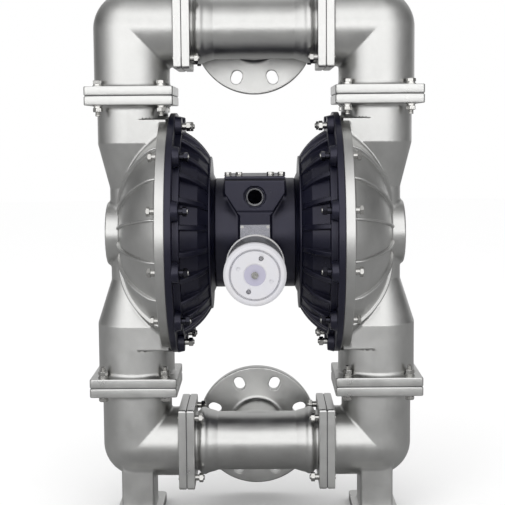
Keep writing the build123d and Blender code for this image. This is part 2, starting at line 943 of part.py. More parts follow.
def rivet_positions():
    half = label_width / 2 - rivet_inset
    rows = (label_top_rise - rivet_inset, label_top_rise - label_height + rivet_inset)
    return [(x, z) for x in (-half, half) for z in rows]


def label_plate():
    plate = block(-label_width / 2, label_width / 2, -block_front - label_thickness, -block_front,
                  label_top_rise - label_height, label_top_rise)
    for x, z in rivet_positions():
        plate -= bar_y(rivet_radius, -block_front - 2, -block_front + 1, x, z)
    return plate


def label_rivets():
    seat = -block_front - label_thickness
    return [bar_y(rivet_radius, seat, seat + rivet_length, x, z)
            + bar_y(rivet_head_radius, seat - rivet_head_height, seat, x, z)
            for x, z in rivet_positions()]


# Silencer: base, screen, cap and tie rod on one axis along -Y
def silencer_place():
    return Pos(0, -block_front, -silencer_drop)


def silencer_base():
    gap = -silencer_base_gap
    back = gap - silencer_base_thickness
    base = turned_on_y(
        (0, silencer_spigot_length),
        (silencer_spigot_radius, silencer_spigot_length),
        (silencer_spigot_radius, 0),
        (silencer_boss_radius - silencer_neck_inset, 0),
        (silencer_boss_radius - silencer_neck_inset, gap),
        (silencer_radius, gap),
        (silencer_radius, back),
        (screen_radius, back),
        (screen_radius, back - silencer_lip),
        (screen_radius - screen_thickness, back - silencer_lip),
        (screen_radius - screen_thickness, back),
        (0, back),
    )
    base -= bar_y(silencer_pocket_radius, back + silencer_lip, silencer_spigot_length + 1)
    for i in range(silencer_vent_count):
        a = radians(360 / silencer_vent_count * i)
        base -= bar_y(silencer_vent_radius, back - 1, gap + 1,
                      silencer_vent_circle * cos(a), silencer_vent_circle * sin(a))
    base -= bar_y(tie_rod_radius, back - 1, silencer_spigot_length + 1)
    return silencer_place() * base


def screen_span():
    """Start and end of the screen, counted from the block's front."""
    start = silencer_base_gap + silencer_base_thickness + silencer_lip
    return start, silencer_length - silencer_cap_depth


def silencer_screen():
    start, end = screen_span()
    screen = ring_y(screen_radius - screen_thickness, screen_radius, -end, -start)
    pitch = (end - start) / screen_window_rows
    half = pitch * screen_window_share / 2
    window = block(0, screen_radius + 1, -half, half,
                   -screen_window_width / 2, screen_window_width / 2)
    windows = []
    for row in range(screen_window_rows):
        y = -start - pitch * (row + 0.5)
        for i in range(screen_window_count // 2):
            turn = Rot(0, 360 / screen_window_count * (i + 0.5 * (row % 2)), 0)
            windows.append(Pos(0, y, 0) * turn * window)
            windows.append(Pos(0, y, 0) * turn * Rot(0, 180, 0) * window)
    screen -= Part() + windows
    return silencer_place() * screen


def silencer_cap():
    front = -silencer_length
    back = front + silencer_cap_depth
    insert = screen_radius - screen_thickness - silencer_cap_fit
    groove = silencer_disc_groove
    disc_face = front + silencer_disc_setback
    medallion_face = front + silencer_medallion_setback
    cap = turned_on_y(
        (0, back - silencer_cap_insert),
        (insert, back - silencer_cap_insert),
        (insert, back),
        (silencer_radius, back),
        (silencer_radius, front + silencer_cap_edge),
        (silencer_radius - silencer_cap_rim, front + groove),
        (silencer_disc_radius + 3 * groove, front),
        (silencer_disc_radius + groove, front + silencer_disc_recess),
        (silencer_disc_radius, front + silencer_disc_recess),
        (silencer_disc_radius - groove, disc_face),
        (silencer_medallion_radius + groove, disc_face),
        (silencer_medallion_radius, medallion_face),
        (0, medallion_face),
    )
    for i in range(4):
        a = radians(silencer_hole_turn + 90 * i)
        depth = silencer_hole_depth if i % 2 == 0 else silencer_dimple_depth
        cap -= bar_y(silencer_hole_radius, front - 1, front + depth,
                     silencer_hole_circle * cos(a), silencer_hole_circle * sin(a))
    cap -= bar_y(tie_rod_radius + thread_clearance, front - 1, back + 1)
    return silencer_place() * cap


def silencer_tie_rod():
    front = -silencer_length + silencer_medallion_setback
    head = front - tie_rod_head_height
    base_floor = -silencer_base_gap - silencer_base_thickness + silencer_lip
    rod = bar_y(tie_rod_radius, front, base_floor)
    rod += bar_y(tie_rod_head_radius, head, front)
    slot = block(-tie_rod_head_radius, tie_rod_head_radius, head - 1, head + tie_rod_slot_depth,
                 -tie_rod_slot_width / 2, tie_rod_slot_width / 2)
    return silencer_place() * (rod - Rot(0, tie_rod_slot_turn, 0) * slot)


# Elbows: two pipes that meet at a mitre, with a round outer corner
def elbow(radius, joint_height, axis_height, shrink, over):
    """Elbow walls from a joint at the column to a joint facing the middle."""
    outer = radius - shrink
    start = manifold_joint_offset + gasket_thickness / 2
    body = bar_z(outer, joint_height - over, axis_height, column_offset)
    body += bar_x(outer, start - over, column_offset, 0, axis_height)
    return body + Pos(column_offset, 0, axis_height) * Sphere(outer)


def plate_holes(spacing, low, high, radius=bolt_hole_radius):
    return Part() + [bar_z(radius, low - 1, high + 1, x, y)
                     for x, y in square_corners(spacing)]


def elbow_casting(radius, joint_height, axis_height):
    start = manifold_joint_offset + gasket_thickness / 2
    body = elbow(radius, joint_height, axis_height, 0, 0)
    column = Pos(column_offset, 0, joint_height)
    branch = Pos(start, 0, axis_height) * Rot(0, 90, 0)
    body += column * square_plate(joint_plate_width, 0, joint_plate_thickness)
    body += branch * square_plate(manifold_plate_width, 0, manifold_plate_thickness)
    body -= elbow(radius, joint_height, axis_height, casting_wall, 1)
    body -= column * plate_holes(joint_bolt_spacing, 0, joint_plate_thickness)
    body -= branch * plate_holes(manifold_bolt_spacing, 0, manifold_plate_thickness,
                                 bolt_radius + thread_clearance)
    return body


def discharge_elbow():
    joint = upper_joint_rise + gasket_thickness / 2
    body = elbow_casting(upper_elbow_radius, joint, discharge_rise)
    seat_top = upper_joint_rise - gasket_thickness / 2
    guides = ball_guides(upper_elbow_radius)
    return body + Pos(column_offset, 0, seat_top) * guides


def foot_x():
    return column_offset - foot_inset


def inlet_elbow():
    joint = lower_joint_drop + gasket_thickness / 2
    body = Rot(180, 0, 0) * elbow_casting(lower_elbow_radius, joint, inlet_drop)
    foot = block(foot_x() - foot_width / 2, foot_x() + foot_width / 2,
                 -foot_depth / 2, foot_depth / 2, -shaft_height, -inlet_drop)
    foot = fillet(foot.edges().filter_by(Axis.Z), foot_corner_radius)
    base = block(foot_x() - foot_base_width / 2, foot_x() + foot_base_width / 2,
                 -foot_base_depth / 2, foot_base_depth / 2,
                 -shaft_height, -shaft_height + foot_base_thickness)
    base = fillet(base.edges().filter_by(Axis.Z), foot_base_corner_radius)
    bore = elbow(lower_elbow_radius, joint, inlet_drop, casting_wall, 1)
    body += (foot + base) - Rot(180, 0, 0) * bore
    for side in (-1, 1):
        body -= bar_z(foot_hole_radius, -shaft_height - 1, -shaft_height + foot_base_thickness + 1,
                      foot_x(), side * foot_hole_spacing / 2)
    return body - Pos(column_offset, 0, -joint) * bar_z(seat_radius, -seat_height, 1)


# Manifolds: a waisted tube with two plates and a slotted port flange at the back
def tube_half_outline(shrink):
    """Radii of the tube at its middle and its flare, and where it ends."""
    straight = tube_radius - shrink
    flare = tube_bead_radius - flare_lip - shrink
    end = manifold_joint_offset - gasket_thickness / 2
    return straight, flare, end


def manifold_tube():
    straight, flare, end = tube_half_outline(0)
    curve = Spline((tube_straight_half, straight), (tube_bead_start, flare),
                   tangents=[(1, 0), (1, flare_slope)])
    rim = Polyline(
        (tube_bead_start, flare),
        (tube_bead_start, tube_bead_radius),
        (tube_bead_end, tube_bead_radius),
        (tube_bead_end, tube_collar_radius),
        (end, tube_collar_radius),
        (end, 0),
        (0, 0),
        (0, straight),
        (tube_straight_half, straight),
    )
    half = revolve(make_face(curve + rim), axis=Axis.X)
    return half + other_side(half)


def manifold_room():
    straight, flare, end = tube_half_outline(casting_wall)
    half = turned_on_x(
        (0, 0),
        (0, straight),
        (tube_straight_half, straight),
        (tube_bead_start - casting_wall, flare - 2 * flare_lip),
        (tube_bead_end - casting_wall, tube_collar_radius - casting_wall),
        (end + 1, tube_collar_radius - casting_wall),
        (end + 1, 0),
    )
    return half + other_side(half)


def manifold():
    end = manifold_joint_offset - gasket_thickness / 2
    body = manifold_tube()
    plate = Pos(end, 0, 0) * Rot(0, -90, 0) * square_plate(
        manifold_plate_width, 0, manifold_plate_thickness)
    holes = Pos(end, 0, 0) * Rot(0, -90, 0) * plate_holes(
        manifold_bolt_spacing, 0, manifold_plate_thickness)
    body += plate + other_side(plate)
    back = port_flange_front + port_flange_thickness
    body += turned_on_y(
        (0, 0),
        (tube_radius - casting_wall + 2, 0),
        (port_neck_radius, port_neck_start),
        (port_neck_radius, port_flange_front - port_neck_flare_length),
        (port_neck_radius + port_neck_flare, port_flange_front),
        (port_flange_radius, port_flange_front),
        (port_flange_radius, back),
        (port_face_radius, back),
        (port_face_radius, back + port_face_height),
        (0, back + port_face_height),
    )
    body -= manifold_room()
    face = back + port_face_height
    body -= bar_y(port_bore_radius, face - port_bore_length, face + 1)
    body -= bar_y(port_throat_radius, port_throat_start, face - port_bore_length + 1)
    body -= holes + other_side(holes)
    slot = Rot(90, 0, 0) * extrude(
        SlotOverall(port_slot_length, port_slot_width), port_flange_thickness + 2)
    for i in range(port_slot_count):
        turn = Rot(0, 360 / port_slot_count * (i + 0.5), 0)
        body -= turn * Pos(port_slot_circle_radius, back + 1, 0) * slot
    return body


# Joint hardware between castings
def joint_gasket():
    half = gasket_thickness / 2
    gasket = square_plate(joint_plate_width - 2 * gasket_inset, -half, half)
    gasket -= bar_z(seat_radius - 6, -1, 1)
    return gasket - plate_holes(joint_bolt_spacing, -half, half)


def manifold_gasket():
    half = gasket_thickness / 2
    gasket = square_plate(manifold_plate_width - 2 * gasket_inset, -half, half)
    gasket -= bar_z(tube_collar_radius - casting_wall, -1, 1)
    return gasket - plate_holes(manifold_bolt_spacing, -half, half)


def both_sides(shapes):
    return shapes + [other_side(shape) for shape in shapes]


def joint_gaskets():
    upper = Pos(column_offset, 0, upper_joint_rise) * joint_gasket()
    lower = Pos(column_offset, 0, -lower_joint_drop) * joint_gasket()
    return both_sides([upper, lower])


def manifold_gaskets():
    turn = Rot(0, 90, 0)
    upper = Pos(manifold_joint_offset, 0, discharge_rise) * turn * manifold_gasket()
    lower = Pos(manifold_joint_offset, 0, -inlet_drop) * turn * manifold_gasket()
    return both_sides([upper, lower])


def at_column_joints(away_from_shaft, towards_shaft):
    """One piece over and one under each bolt hole of the joints on the columns."""
    out = joint_plate_thickness + gasket_thickness / 2
    pieces = []
    for x, y in square_corners(joint_bolt_spacing):
        for turn, rise in ((0, upper_joint_rise), (180, lower_joint_drop)):
            joint = Pos(column_offset, 0, 0) * Rot(turn, 0, 0)
            for piece, height, flip in ((away_from_shaft, rise + out, 0),
                                        (towards_shaft, rise - out, 180)):
                if piece:
                    pieces.append(joint * Pos(x, y, height) * Rot(flip, 0, 0) * piece)
    return both_sides(pieces)


def joint_bolts():
    """Bolts pass through each joint on a column from the side away from the shaft."""
    grip = 2 * joint_plate_thickness + gasket_thickness
    return at_column_joints(hex_bolt(grip + washer_stack() + thread_projection, False), None)


def joint_nuts():
    return at_column_joints(None, hex_nut(False))


def manifold_bolts():
    """Studs screwed into the elbow's plate that pass through the manifold's plate."""
    inner = manifold_joint_offset - gasket_thickness / 2 - manifold_plate_thickness
    outer = manifold_joint_offset + gasket_thickness / 2 + manifold_plate_thickness
    studs = [bar_x(bolt_radius, inner - collar_stack() - short_projection,
                   outer + tapped_projection, y, height + z)
             for height in (discharge_rise, -inlet_drop)
             for y, z in square_corners(manifold_bolt_spacing)]
    return both_sides(studs)


def manifold_nuts():
    face = manifold_joint_offset - gasket_thickness / 2 - manifold_plate_thickness
    nuts = [facing_minus_x(hex_nut(True), face, y, height + z)
            for height in (discharge_rise, -inlet_drop)
            for y, z in square_corners(manifold_bolt_spacing)]
    return both_sides(nuts)


def write_pair(name, shape):
    write(name + "_right", shape)
    write(name + "_left", other_side(shape))


def write_group(name, shapes):
    write(name, Compound(children=[Part() + shape for shape in shapes]))


def main():
    os.makedirs("parts", exist_ok=True)
    write("center_body", center_body())
    write("valve_cover", valve_cover())
    gasket_top = block_top_rise + cover_gasket_thickness
    write("valve_cover_gasket", cover_plate(block_top_rise, gasket_top))
    write_group("valve_cover_bolts", valve_cover_bolts())
    write("valve_sleeve", valve_sleeve())
    write("valve_spool", valve_spool())
    write_group("valve_end_plugs", both_sides([valve_end_plug()]))
    write("pilot_pin", pilot_pin())
    write_group("pilot_bushes", both_sides([pilot_bush()]))
    write("shaft", shaft())
    write_group("shaft_bushes", both_sides([shaft_bush()]))
    write_group("shaft_seals", both_sides([shaft_seal()]))
    write_group("shaft_nuts", both_sides([shaft_nut()]))
    write("air_inlet_bush", air_inlet_bush())
    write("label_plate", label_plate())
    write_group("label_rivets", label_rivets())
    write("silencer_base", silencer_base())
    write("silencer_screen", silencer_screen())
    write("silencer_cap", silencer_cap())
    write("silencer_tie_rod", silencer_tie_rod())
    write_pair("inner_chamber", inner_chamber() - clamped_room())
    write_pair("outer_chamber", outer_chamber() - clamped_room())
    write_pair("diaphragm", diaphragm())
    write_pair("inner_piston", inner_piston())
    write_pair("outer_piston", outer_piston())
    write_group("center_screws", both_sides(center_screws()))
    write_group("chamber_bolts", both_sides(chamber_bolts()))
    write_group("chamber_nuts", both_sides(chamber_nuts()))
    upper_seat = Pos(column_offset, 0, upper_joint_rise - gasket_thickness / 2)
    lower_seat = Pos(column_offset, 0, -lower_joint_drop - gasket_thickness / 2)
    write_pair("discharge_ball", upper_seat * seated_ball())
    write_pair("inlet_ball", lower_seat * seated_ball())
    write_group("discharge_seats", both_sides([upper_seat * ball_seat()]))
    write_group("inlet_seats", both_sides([lower_seat * ball_seat()]))
    write_group("joint_gaskets", joint_gaskets())
    write_group("manifold_gaskets", manifold_gaskets())
    write_pair("discharge_elbow", discharge_elbow())
    write_pair("inlet_elbow", inlet_elbow())
    write("discharge_manifold", Pos(0, 0, discharge_rise) * manifold())
    write("inlet_manifold", Pos(0, 0, -inlet_drop) * manifold())
    write_group("joint_bolts", joint_bolts())
    write_group("joint_nuts", joint_nuts())
    write_group("manifold_bolts", manifold_bolts())
    write_group("manifold_nuts", manifold_nuts())


main()
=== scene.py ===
import math
import random
import json

import bmesh
import bpy
import numpy as np
from bpy.props import FloatProperty, FloatVectorProperty, IntProperty, PointerProperty
from mathutils import Matrix, Vector


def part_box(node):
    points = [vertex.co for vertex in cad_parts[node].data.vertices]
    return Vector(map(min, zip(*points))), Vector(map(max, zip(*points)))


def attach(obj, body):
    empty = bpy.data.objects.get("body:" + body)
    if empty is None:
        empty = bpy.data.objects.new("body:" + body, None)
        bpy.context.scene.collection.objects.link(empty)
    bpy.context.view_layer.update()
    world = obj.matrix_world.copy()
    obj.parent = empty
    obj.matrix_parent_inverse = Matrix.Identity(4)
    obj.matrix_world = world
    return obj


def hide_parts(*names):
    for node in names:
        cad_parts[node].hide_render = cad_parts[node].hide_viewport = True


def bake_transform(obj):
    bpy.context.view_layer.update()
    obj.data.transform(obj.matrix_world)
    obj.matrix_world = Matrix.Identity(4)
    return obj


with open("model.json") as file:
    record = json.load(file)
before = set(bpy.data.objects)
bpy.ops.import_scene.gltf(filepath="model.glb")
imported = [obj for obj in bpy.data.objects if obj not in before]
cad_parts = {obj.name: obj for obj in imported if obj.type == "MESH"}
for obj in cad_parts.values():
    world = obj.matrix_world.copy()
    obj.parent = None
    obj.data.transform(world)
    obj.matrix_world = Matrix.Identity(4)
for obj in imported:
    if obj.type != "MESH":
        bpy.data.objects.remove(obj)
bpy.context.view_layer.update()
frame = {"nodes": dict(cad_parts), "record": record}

bl_info = {
    "name": "Diaphragm Pump",
    "version": (1, 0, 0),
    "blender": (4, 5, 0),
    "location": "View3D > Sidebar > Pump",
    "description": "Builds the visible castings, hardware and finishes of a twin diaphragm pump",
    "category": "Object",
}

MM = 0.001

# Main sizes of the pump, in millimetres, with heights counted from the shaft axis
SHAFT_HEIGHT = 460.0
COLUMN_X = 192.5
UPPER_JOINT = 216.5
LOWER_JOINT = 238.5
DISCHARGE_AXIS = 321.0
INLET_AXIS = 338.5
MANIFOLD_JOINT = 110.8
HALF_GASKET = 0.5

# Room round a shape that is skinned, and how far a cut runs past the face that it leaves through
MARGIN = 3.0
FINE_MARGIN = 2.0
OVERRUN = 5.0

# Cosines of tapers, which keep distances true across them
COLUMN_SLOPE = 0.96
TUBE_SLOPE = 0.93
SHOULDER_SLOPE = 0.87

# Wet castings
UPPER_ELBOW_RADIUS = 59.6
LOWER_ELBOW_RADIUS = 55.3
UPPER_PIPE_RADIUS = 55.7
LOWER_PIPE_RADIUS = 60.6
WALL = 7.0
INNER_EDGE = 1.0
JOINT_PLATE = 137.0
JOINT_PLATE_THICKNESS = 14.0
JOINT_BOLT_SPACING = 98.0
TUBE_PLATE = 128.0
TUBE_PLATE_THICKNESS = 12.0
TUBE_BOLT_SPACING = 96.0
PLATE_CORNER = 4.0
PLATE_BORE = 50.0
CORE_INSET = 0.4
CORE_RECESS = 8.0

# Rims and domes of the chambers
CLAMP_X = 132.0
RIM_RADIUS = 184.0
RIM_THICKNESS = 15.0
DOME_ROOT = (147.0, 165.0)
DOME_BULGE = (193.5, 115.5)
DOME_END = (212.0, 50.0)
BOSS_RADIUS = 50.0
BOSS_FACE = 235.0
BOSS_BACK = 190.0
BOSS_EDGE = 3.0
BOSS_FILLET = 5.0
RIM_FILLET = 4.0
WEB_START = 54.0
WEB_END = 180.5
WEB_EDGE = 1.2
STUD_INSET = 2.5
TAPER_START = 142.5
TAPER_END = 73.0
WAIST_RADIUS = 38.0
DOME_WALL = 8.0
MOUTH_RADIUS = 146.0
CLAMP_CIRCLE = 174.5
CLAMP_BOLTS = 12

# Air side chambers
AIR_RIM_RADIUS = 190.0
AIR_RIM_THICKNESS = 10.0
LUG_BACK = 112.0
LUG_RING_RADIUS = 166.0
LUG_RADIUS = 14.5
LUG_BORE = 4.5
LUG_FLARE = 2.5
HUB_X = 68.0
HUB_THICKNESS = 2.6
HUB_RADIUS = 121.0
HUB_CONE_RADIUS = 99.0
NECK_RADIUS = 86.5
CENTER_HALF = 62.4
DISH_BULGE = (84.0, 140.0)
DISH_END_RADIUS = 162.0
POCKET_HUB_RADIUS = 119.0
POCKET_CREASE = (86.0, 136.0)
POCKET_END_RADIUS = 150.0
AIR_WALL = 8.0
AIR_FLOOR = 78.0

# Diaphragms
DIAPHRAGM_THICKNESS = 5.0
DIAPHRAGM_CONVOLUTION = 9.0
DIAPHRAGM_BORE = 10.05
DIAPHRAGM_FLAT = 94.0
DIAPHRAGM_MOUTH = 145.7
DIAPHRAGM_SECTORS = 12
BEAD_LOW = 150.3
BEAD_HIGH = 159.7
BEAD_DEPTH = 3.7

# Centre block
BLOCK_HALF_WIDTH = 46.0
BLOCK_FRONT = 100.0
BLOCK_FILLET = 5.0
CHEST_SETBACK = 36.0
CHEST_CORNER = 4.0
SHAFT_BORE = 19.0
EXHAUST_BOSS = 34.0
EXHAUST_FILLET = 4.0
EXHAUST_BORE = 19.0
EXHAUST_DEPTH = 36.0
GROOVE_RISE = 38.7
GROOVE_RADIUS = 0.9
BLOCK_REAR = 46.0
BLOCK_TOP = 86.9
BLOCK_SHOULDER = 67.0
BLOCK_WAIST = 32.5
BLOCK_WAIST_HALF = 23.7
INLET_RISE = 61.5
INLET_SPOT_RADIUS = 16.2
INLET_SPOT_DEPTH = 1.5
INLET_DRILL = 11.0
INLET_DEPTH = 48.0
DRILL_POINT = 1.2
DRILL_POINT_SLOPE = 0.64
INLET_BUSH_RADIUS = 13.6
INLET_BUSH_LENGTH = 16.0
INLET_BUSH_STAND = 0.3
INLET_THREAD_RADIUS = 12.06
INLET_THREAD_DEPTH = 0.9
INLET_THREAD_PITCH = 1.5
BORE_EDGE = 0.5
RECESS_EDGE = 0.8
VALVE_Y = -28.0
VALVE_RISE = 50.0
SLEEVE_RADIUS = 18.0

# Manifolds and port flanges
TUBE_RADIUS = 40.5
TUBE_STRAIGHT = 38.0
BEAD_RADIUS = 53.0
BEAD_START = 82.0
BEAD_END = 91.0
BEAD_EDGE = 2.5
BEAD_FILLET = 7.0
COLLAR_RADIUS = 47.0
PORT_BORE = 40.0
PORT_NECK = 44.4
PORT_FILLET = 9.0
PORT_START = 14.0
FLANGE_RADIUS = 100.0
FLANGE_FRONT = 102.5
FLANGE_THICKNESS = 20.0
FLANGE_FILLET = 8.0
FACE_RADIUS = 63.0
FACE_HEIGHT = 2.0
FACE_EDGE = 0.6
SLOT_COUNT = 8
SLOT_CIRCLE = 77.5
SLOT_WIDTH = 18.0
SLOT_LENGTH = 23.0

# Feet
FOOT_X = 190.5
FOOT_WIDTH = 51.0
FOOT_DEPTH = 84.0
FOOT_CORNER = 3.0
FOOT_FILLET = 6.0
BASE_WIDTH = 73.0
BASE_DEPTH = 164.0
BASE_THICKNESS = 14.0
BASE_CORNER = 8.0
BASE_HOLE = 7.0
BASE_HOLE_SPACING = 126.0

# Ball valves
SEAT_RADIUS = 53.0
SEAT_HEIGHT = 11.0
BALL_CHANNEL = 42.8
BALL_TOP = 34.63
GUIDE_TOP = 60.6
GUIDE_THICKNESS = 8.0

# Silencer
SILENCER_DROP = 39.0
SILENCER_LENGTH = 158.0
SILENCER_RADIUS = 44.4
SCREEN_RADIUS = 42.0
CAP_DEPTH = 24.0
DISC_RADIUS = 34.6
MEDALLION_RADIUS = 15.5
CAP_HOLE_CIRCLE = 25.0
CAP_HOLE_RADIUS = 3.6
CAP_HOLE_START = 69
CAP_PLUG = 6.0
CAP_GROOVE = 4.0
DISC_INSET = 0.6
MEDALLION_INSET = 1.6
SPIGOT_LENGTH = 14.0
SPIGOT_RADIUS = 19.0
BASE_COLLAR_RADIUS = 28.0
BASE_COLLAR_LENGTH = 3.0
BASE_RIM_END = 10.0
SCREEN_START = 13.0
SCREEN_THICKNESS = 0.8
SCREEN_BAND = 4.0
WELD_DISTANCE = 0.00002

# Fasteners
BOLT_RADIUS = 4.0
BOLT_FLATS = 13.0
BOLT_HEAD = 5.5
NUT_HEIGHT = 6.5
WASHER_RADIUS = 8.0
WASHER_HEIGHT = 1.6
SPRING_RADIUS = 6.5
SPRING_HEIGHT = 2.2
BOLT_COLLAR_RADIUS = 5.0
BOLT_COLLAR_HEIGHT = 6.5
STUD_REACH = 6.5
SHORT_REACH = 2.0
TAPPED_REACH = 1.5
WASHER_STACK = WASHER_HEIGHT + SPRING_HEIGHT + NUT_HEIGHT
COLLAR_STACK = BOLT_COLLAR_HEIGHT + NUT_HEIGHT
COVER_BOLTS_X = (-40.5, -23.8, 23.8, 40.5)
COVER_ROW_INSET = 7.0
COUNTERSINK_RADIUS = 6.2
COUNTERSINK_DEPTH = 3.2
COVER_SHANK_RADIUS = 3.0
COVER_SHANK_LENGTH = 20.0
COVER_FLANGE_RADIUS = 6.0
COVER_FLANGE_HEIGHT = 1.2
COVER_HEAD_FLATS = 10.0
COVER_HEAD_HEIGHT = 5.0
SCREW_HEAD_RADIUS = 5.8
SOCKET_FLATS = 4.0
SOCKET_DEPTH = 2.2
STUDS_BESIDE_PIPES = (0, 5, 6, 11)
LARGEST_TURN = math.pi / 3

SIDES = (("right", 1), ("left", -1))

# The photograph's camera: millimetres from the shaft axis, degrees and pixels
CAMERA_PLACE = (9.18, -1998.82, 167.48)
CAMERA_YAW = -0.403
CAMERA_PITCH = 5.715
CAMERA_ROLL = -0.469
FOCAL_PIXELS = 1256.07
PHOTO_PIXELS = 505
SENSOR_WIDTH = 36.0

# Direction in which the studio is brightest, across and along the floor
STUDIO_FRONT = (-0.087, -0.996)

# Finishes by the name of their slot, filled by the Finishes step
MATERIALS = {}


def length(name, description, default):
    return FloatProperty(name=name, description=description, default=default, unit="LENGTH")


def color_of(name, description, default):
    return FloatVectorProperty(name=name, description=description, default=default,
                               subtype="COLOR", min=0, max=1)


class PumpSizes(bpy.types.PropertyGroup):
    casting_step: length(
        "Casting Mesh Step", "Length of the quads that skin the large castings", 0.0026)
    flange_step: length(
        "Manifold Mesh Step",
        "Length of the quads that skin the manifolds and their slotted flanges", 0.0021)
    fine_step: length(
        "Fine Mesh Step", "Length of the quads that skin the small castings", 0.0017)
    edge_round: length(
        "Edge Rounding", "Radius on the outer edges of plates and rims", 0.0016)
    casting_fillet: length(
        "Casting Fillet", "Radius where a pipe grows out of a plate", 0.007)
    crease_fillet: length(
        "Crease Fillet", "Radius in the crease where two pipes meet", 0.004)
    dome_ribs: IntProperty(
        name="Dome Ribs", description="Ribs on each liquid side dome", default=16)
    dome_rib_height: length(
        "Dome Rib Height", "Height of a rib over the dome", 0.005)
    dome_rib_thickness: length(
        "Dome Rib Thickness", "Thickness of a rib on the dome", 0.004)
    air_ribs: IntProperty(
        name="Air Chamber Ribs", description="Ribs on each air side chamber", default=24)
    air_rib_thickness: length(
        "Air Chamber Rib Thickness", "Thickness of a rib on the air side", 0.0085)
    thread_pitch: length(
        "Stud Thread Pitch", "Distance between two thread crests", 0.00125)
    screen_pitch: length(
        "Screen Hole Pitch", "Distance between holes in the silencer screen", 0.0042)
    screen_hole: FloatProperty(
        name="Screen Hole Share", description="Hole diameter as a share of the pitch",
        default=0.66, min=0.2, max=0.9)
    floor_radius: length(
        "Floor Radius", "Radius of the studio floor", 9.0)


class PumpColours(bpy.types.PropertyGroup):
    stainless: color_of(
        "Stainless Casting", "Bead blasted stainless castings", (0.56, 0.56, 0.55))
    fastener: color_of(
        "Stainless Fastener", "Bright bolts, nuts and washers", (0.46, 0.455, 0.44))
    black_coat: color_of(
        "Black Coat", "Coat on the centre body and the air chambers", (0.0042, 0.0045, 0.0115))
    white_plastic: color_of(
        "White Plastic", "Moulded silencer cap", (0.62, 0.62, 0.66))
    medallion: color_of(
        "Cap Medallion", "Disc in the middle of the silencer cap", (0.42, 0.41, 0.52))
    label: color_of(
        "Label Metal", "Bare label plate", (0.30, 0.30, 0.33))
    floor: color_of(
        "Floor", "Plain pale studio floor", (0.99, 0.99, 0.99))


# Signed distances: negative inside a shape, in millimetres
def rounded(across, along, radius):
    across = across + radius
    along = along + radius
    inner = np.minimum(np.maximum(across, along), 0)
    return inner + np.hypot(np.maximum(across, 0), np.maximum(along, 0)) - radius


def span(value, low, high):
    return np.abs(value - (low + high) / 2) - (high - low) / 2


def rod(across, along, radius, low, high, edge=0.3):
    """Solid cylinder, given the distance from its axis and the place along it."""
    return rounded(across - radius, span(along, low, high), edge)


def square(a, b, width, corner):
    return rounded(np.abs(a) - width / 2, np.abs(b) - width / 2, corner)


def block(x, y, z, low, high, edge, corner):
    """Box whose upright corners have one radius and whose other edges have another."""
    plan = rounded(span(x, low[0], high[0]), span(y, low[1], high[1]), corner)
    return rounded(plan, span(z, low[2], high[2]), edge)


def join(a, b, fillet=0.0):
    """Union with a fillet in the inner corner."""
    if np.all(fillet == 0):
        return np.minimum(a, b)
    near = np.maximum(fillet - np.abs(a - b), 0) / fillet
    return np.minimum(a, b) - near * near * fillet / 4


def cut(a, b, fillet=0.0):
    """What is left of a without b."""
    return -join(-a, b, fillet)


def circle_through(first, second, third):
    """Centre and radius of the circle through three points of a section."""
    (ax, ay), (bx, by), (cx, cy) = first, second, third
    d = 2 * (ax * (by - cy) + bx * (cy - ay) + cx * (ay - by))
    a, b, c = ax * ax + ay * ay, bx * bx + by * by, cx * cx + cy * cy
    x = (a * (by - cy) + b * (cy - ay) + c * (ay - by)) / d
    y = (a * (cx - bx) + b * (ax - cx) + c * (bx - ax)) / d
    return x, y, math.hypot(ax - x, ay - y)


def skin(shape, low, high, step):
    """Quads over the surface where a signed distance is zero, with true normals."""
    axes = [np.arange(a, b + step, step) for a, b in zip(low, high)]
    value = shape(*np.meshgrid(*axes, indexing="ij"))
    inside = value < 0
    size = np.array(inside.shape) - 1
    corners = np.array([(i, j, k) for i in (0, 1) for j in (0, 1) for k in (0, 1)])
    count = np.zeros(size, np.int8)
    for i, j, k in corners:
        count += inside[i:i + size[0], j:j + size[1], k:k + size[2]]
    mixed = (count > 0) & (count < 8)
    cells = np.argwhere(mixed)
    number = np.full(size, -1)
    number[mixed] = np.arange(len(cells))
    total = np.zeros((len(cells), 3))
    hits = np.zeros(len(cells))
    for axis in range(3):
        unit = np.eye(3, dtype=int)[axis]
        for corner in corners[corners[:, axis] == 0]:
            start = cells + corner
            a = value[tuple(start.T)]
            b = value[tuple((start + unit).T)]
            crossed = (a < 0) != (b < 0)
            share = a[crossed] / (a[crossed] - b[crossed])
            total[crossed] += corner + share[:, None] * unit
            hits[crossed] += 1
    points = np.array(low) + step * (cells + total / hits[:, None])
    faces = []
    for axis in range(3):
        u, v = (axis + 1) % 3, (axis + 2) % 3
        first = np.moveaxis(inside, axis, 0)[:-1]
        last = np.moveaxis(inside, axis, 0)[1:]
        edges = np.argwhere(np.moveaxis(first != last, 0, axis))
        keep = (edges[:, u] > 0) & (edges[:, v] > 0)
        keep &= (edges[:, u] < size[u]) & (edges[:, v] < size[v])
        edges = edges[keep]
        step_u, step_v = np.eye(3, dtype=int)[u], np.eye(3, dtype=int)[v]
        ring = [edges - step_u - step_v, edges - step_v, edges, edges - step_u]
        quads = np.stack([number[tuple(c.T)] for c in ring], axis=1)
        outward = inside[tuple(edges.T)]
        quads[~outward] = quads[~outward][:, ::-1]
        faces.append(quads)
    for _ in range(3):
        distance, normal = slope(shape, points, step)
        points -= normal * np.clip(distance, -step, step)[:, None]
    return points, np.concatenate(faces), slope(shape, points, step)[1]


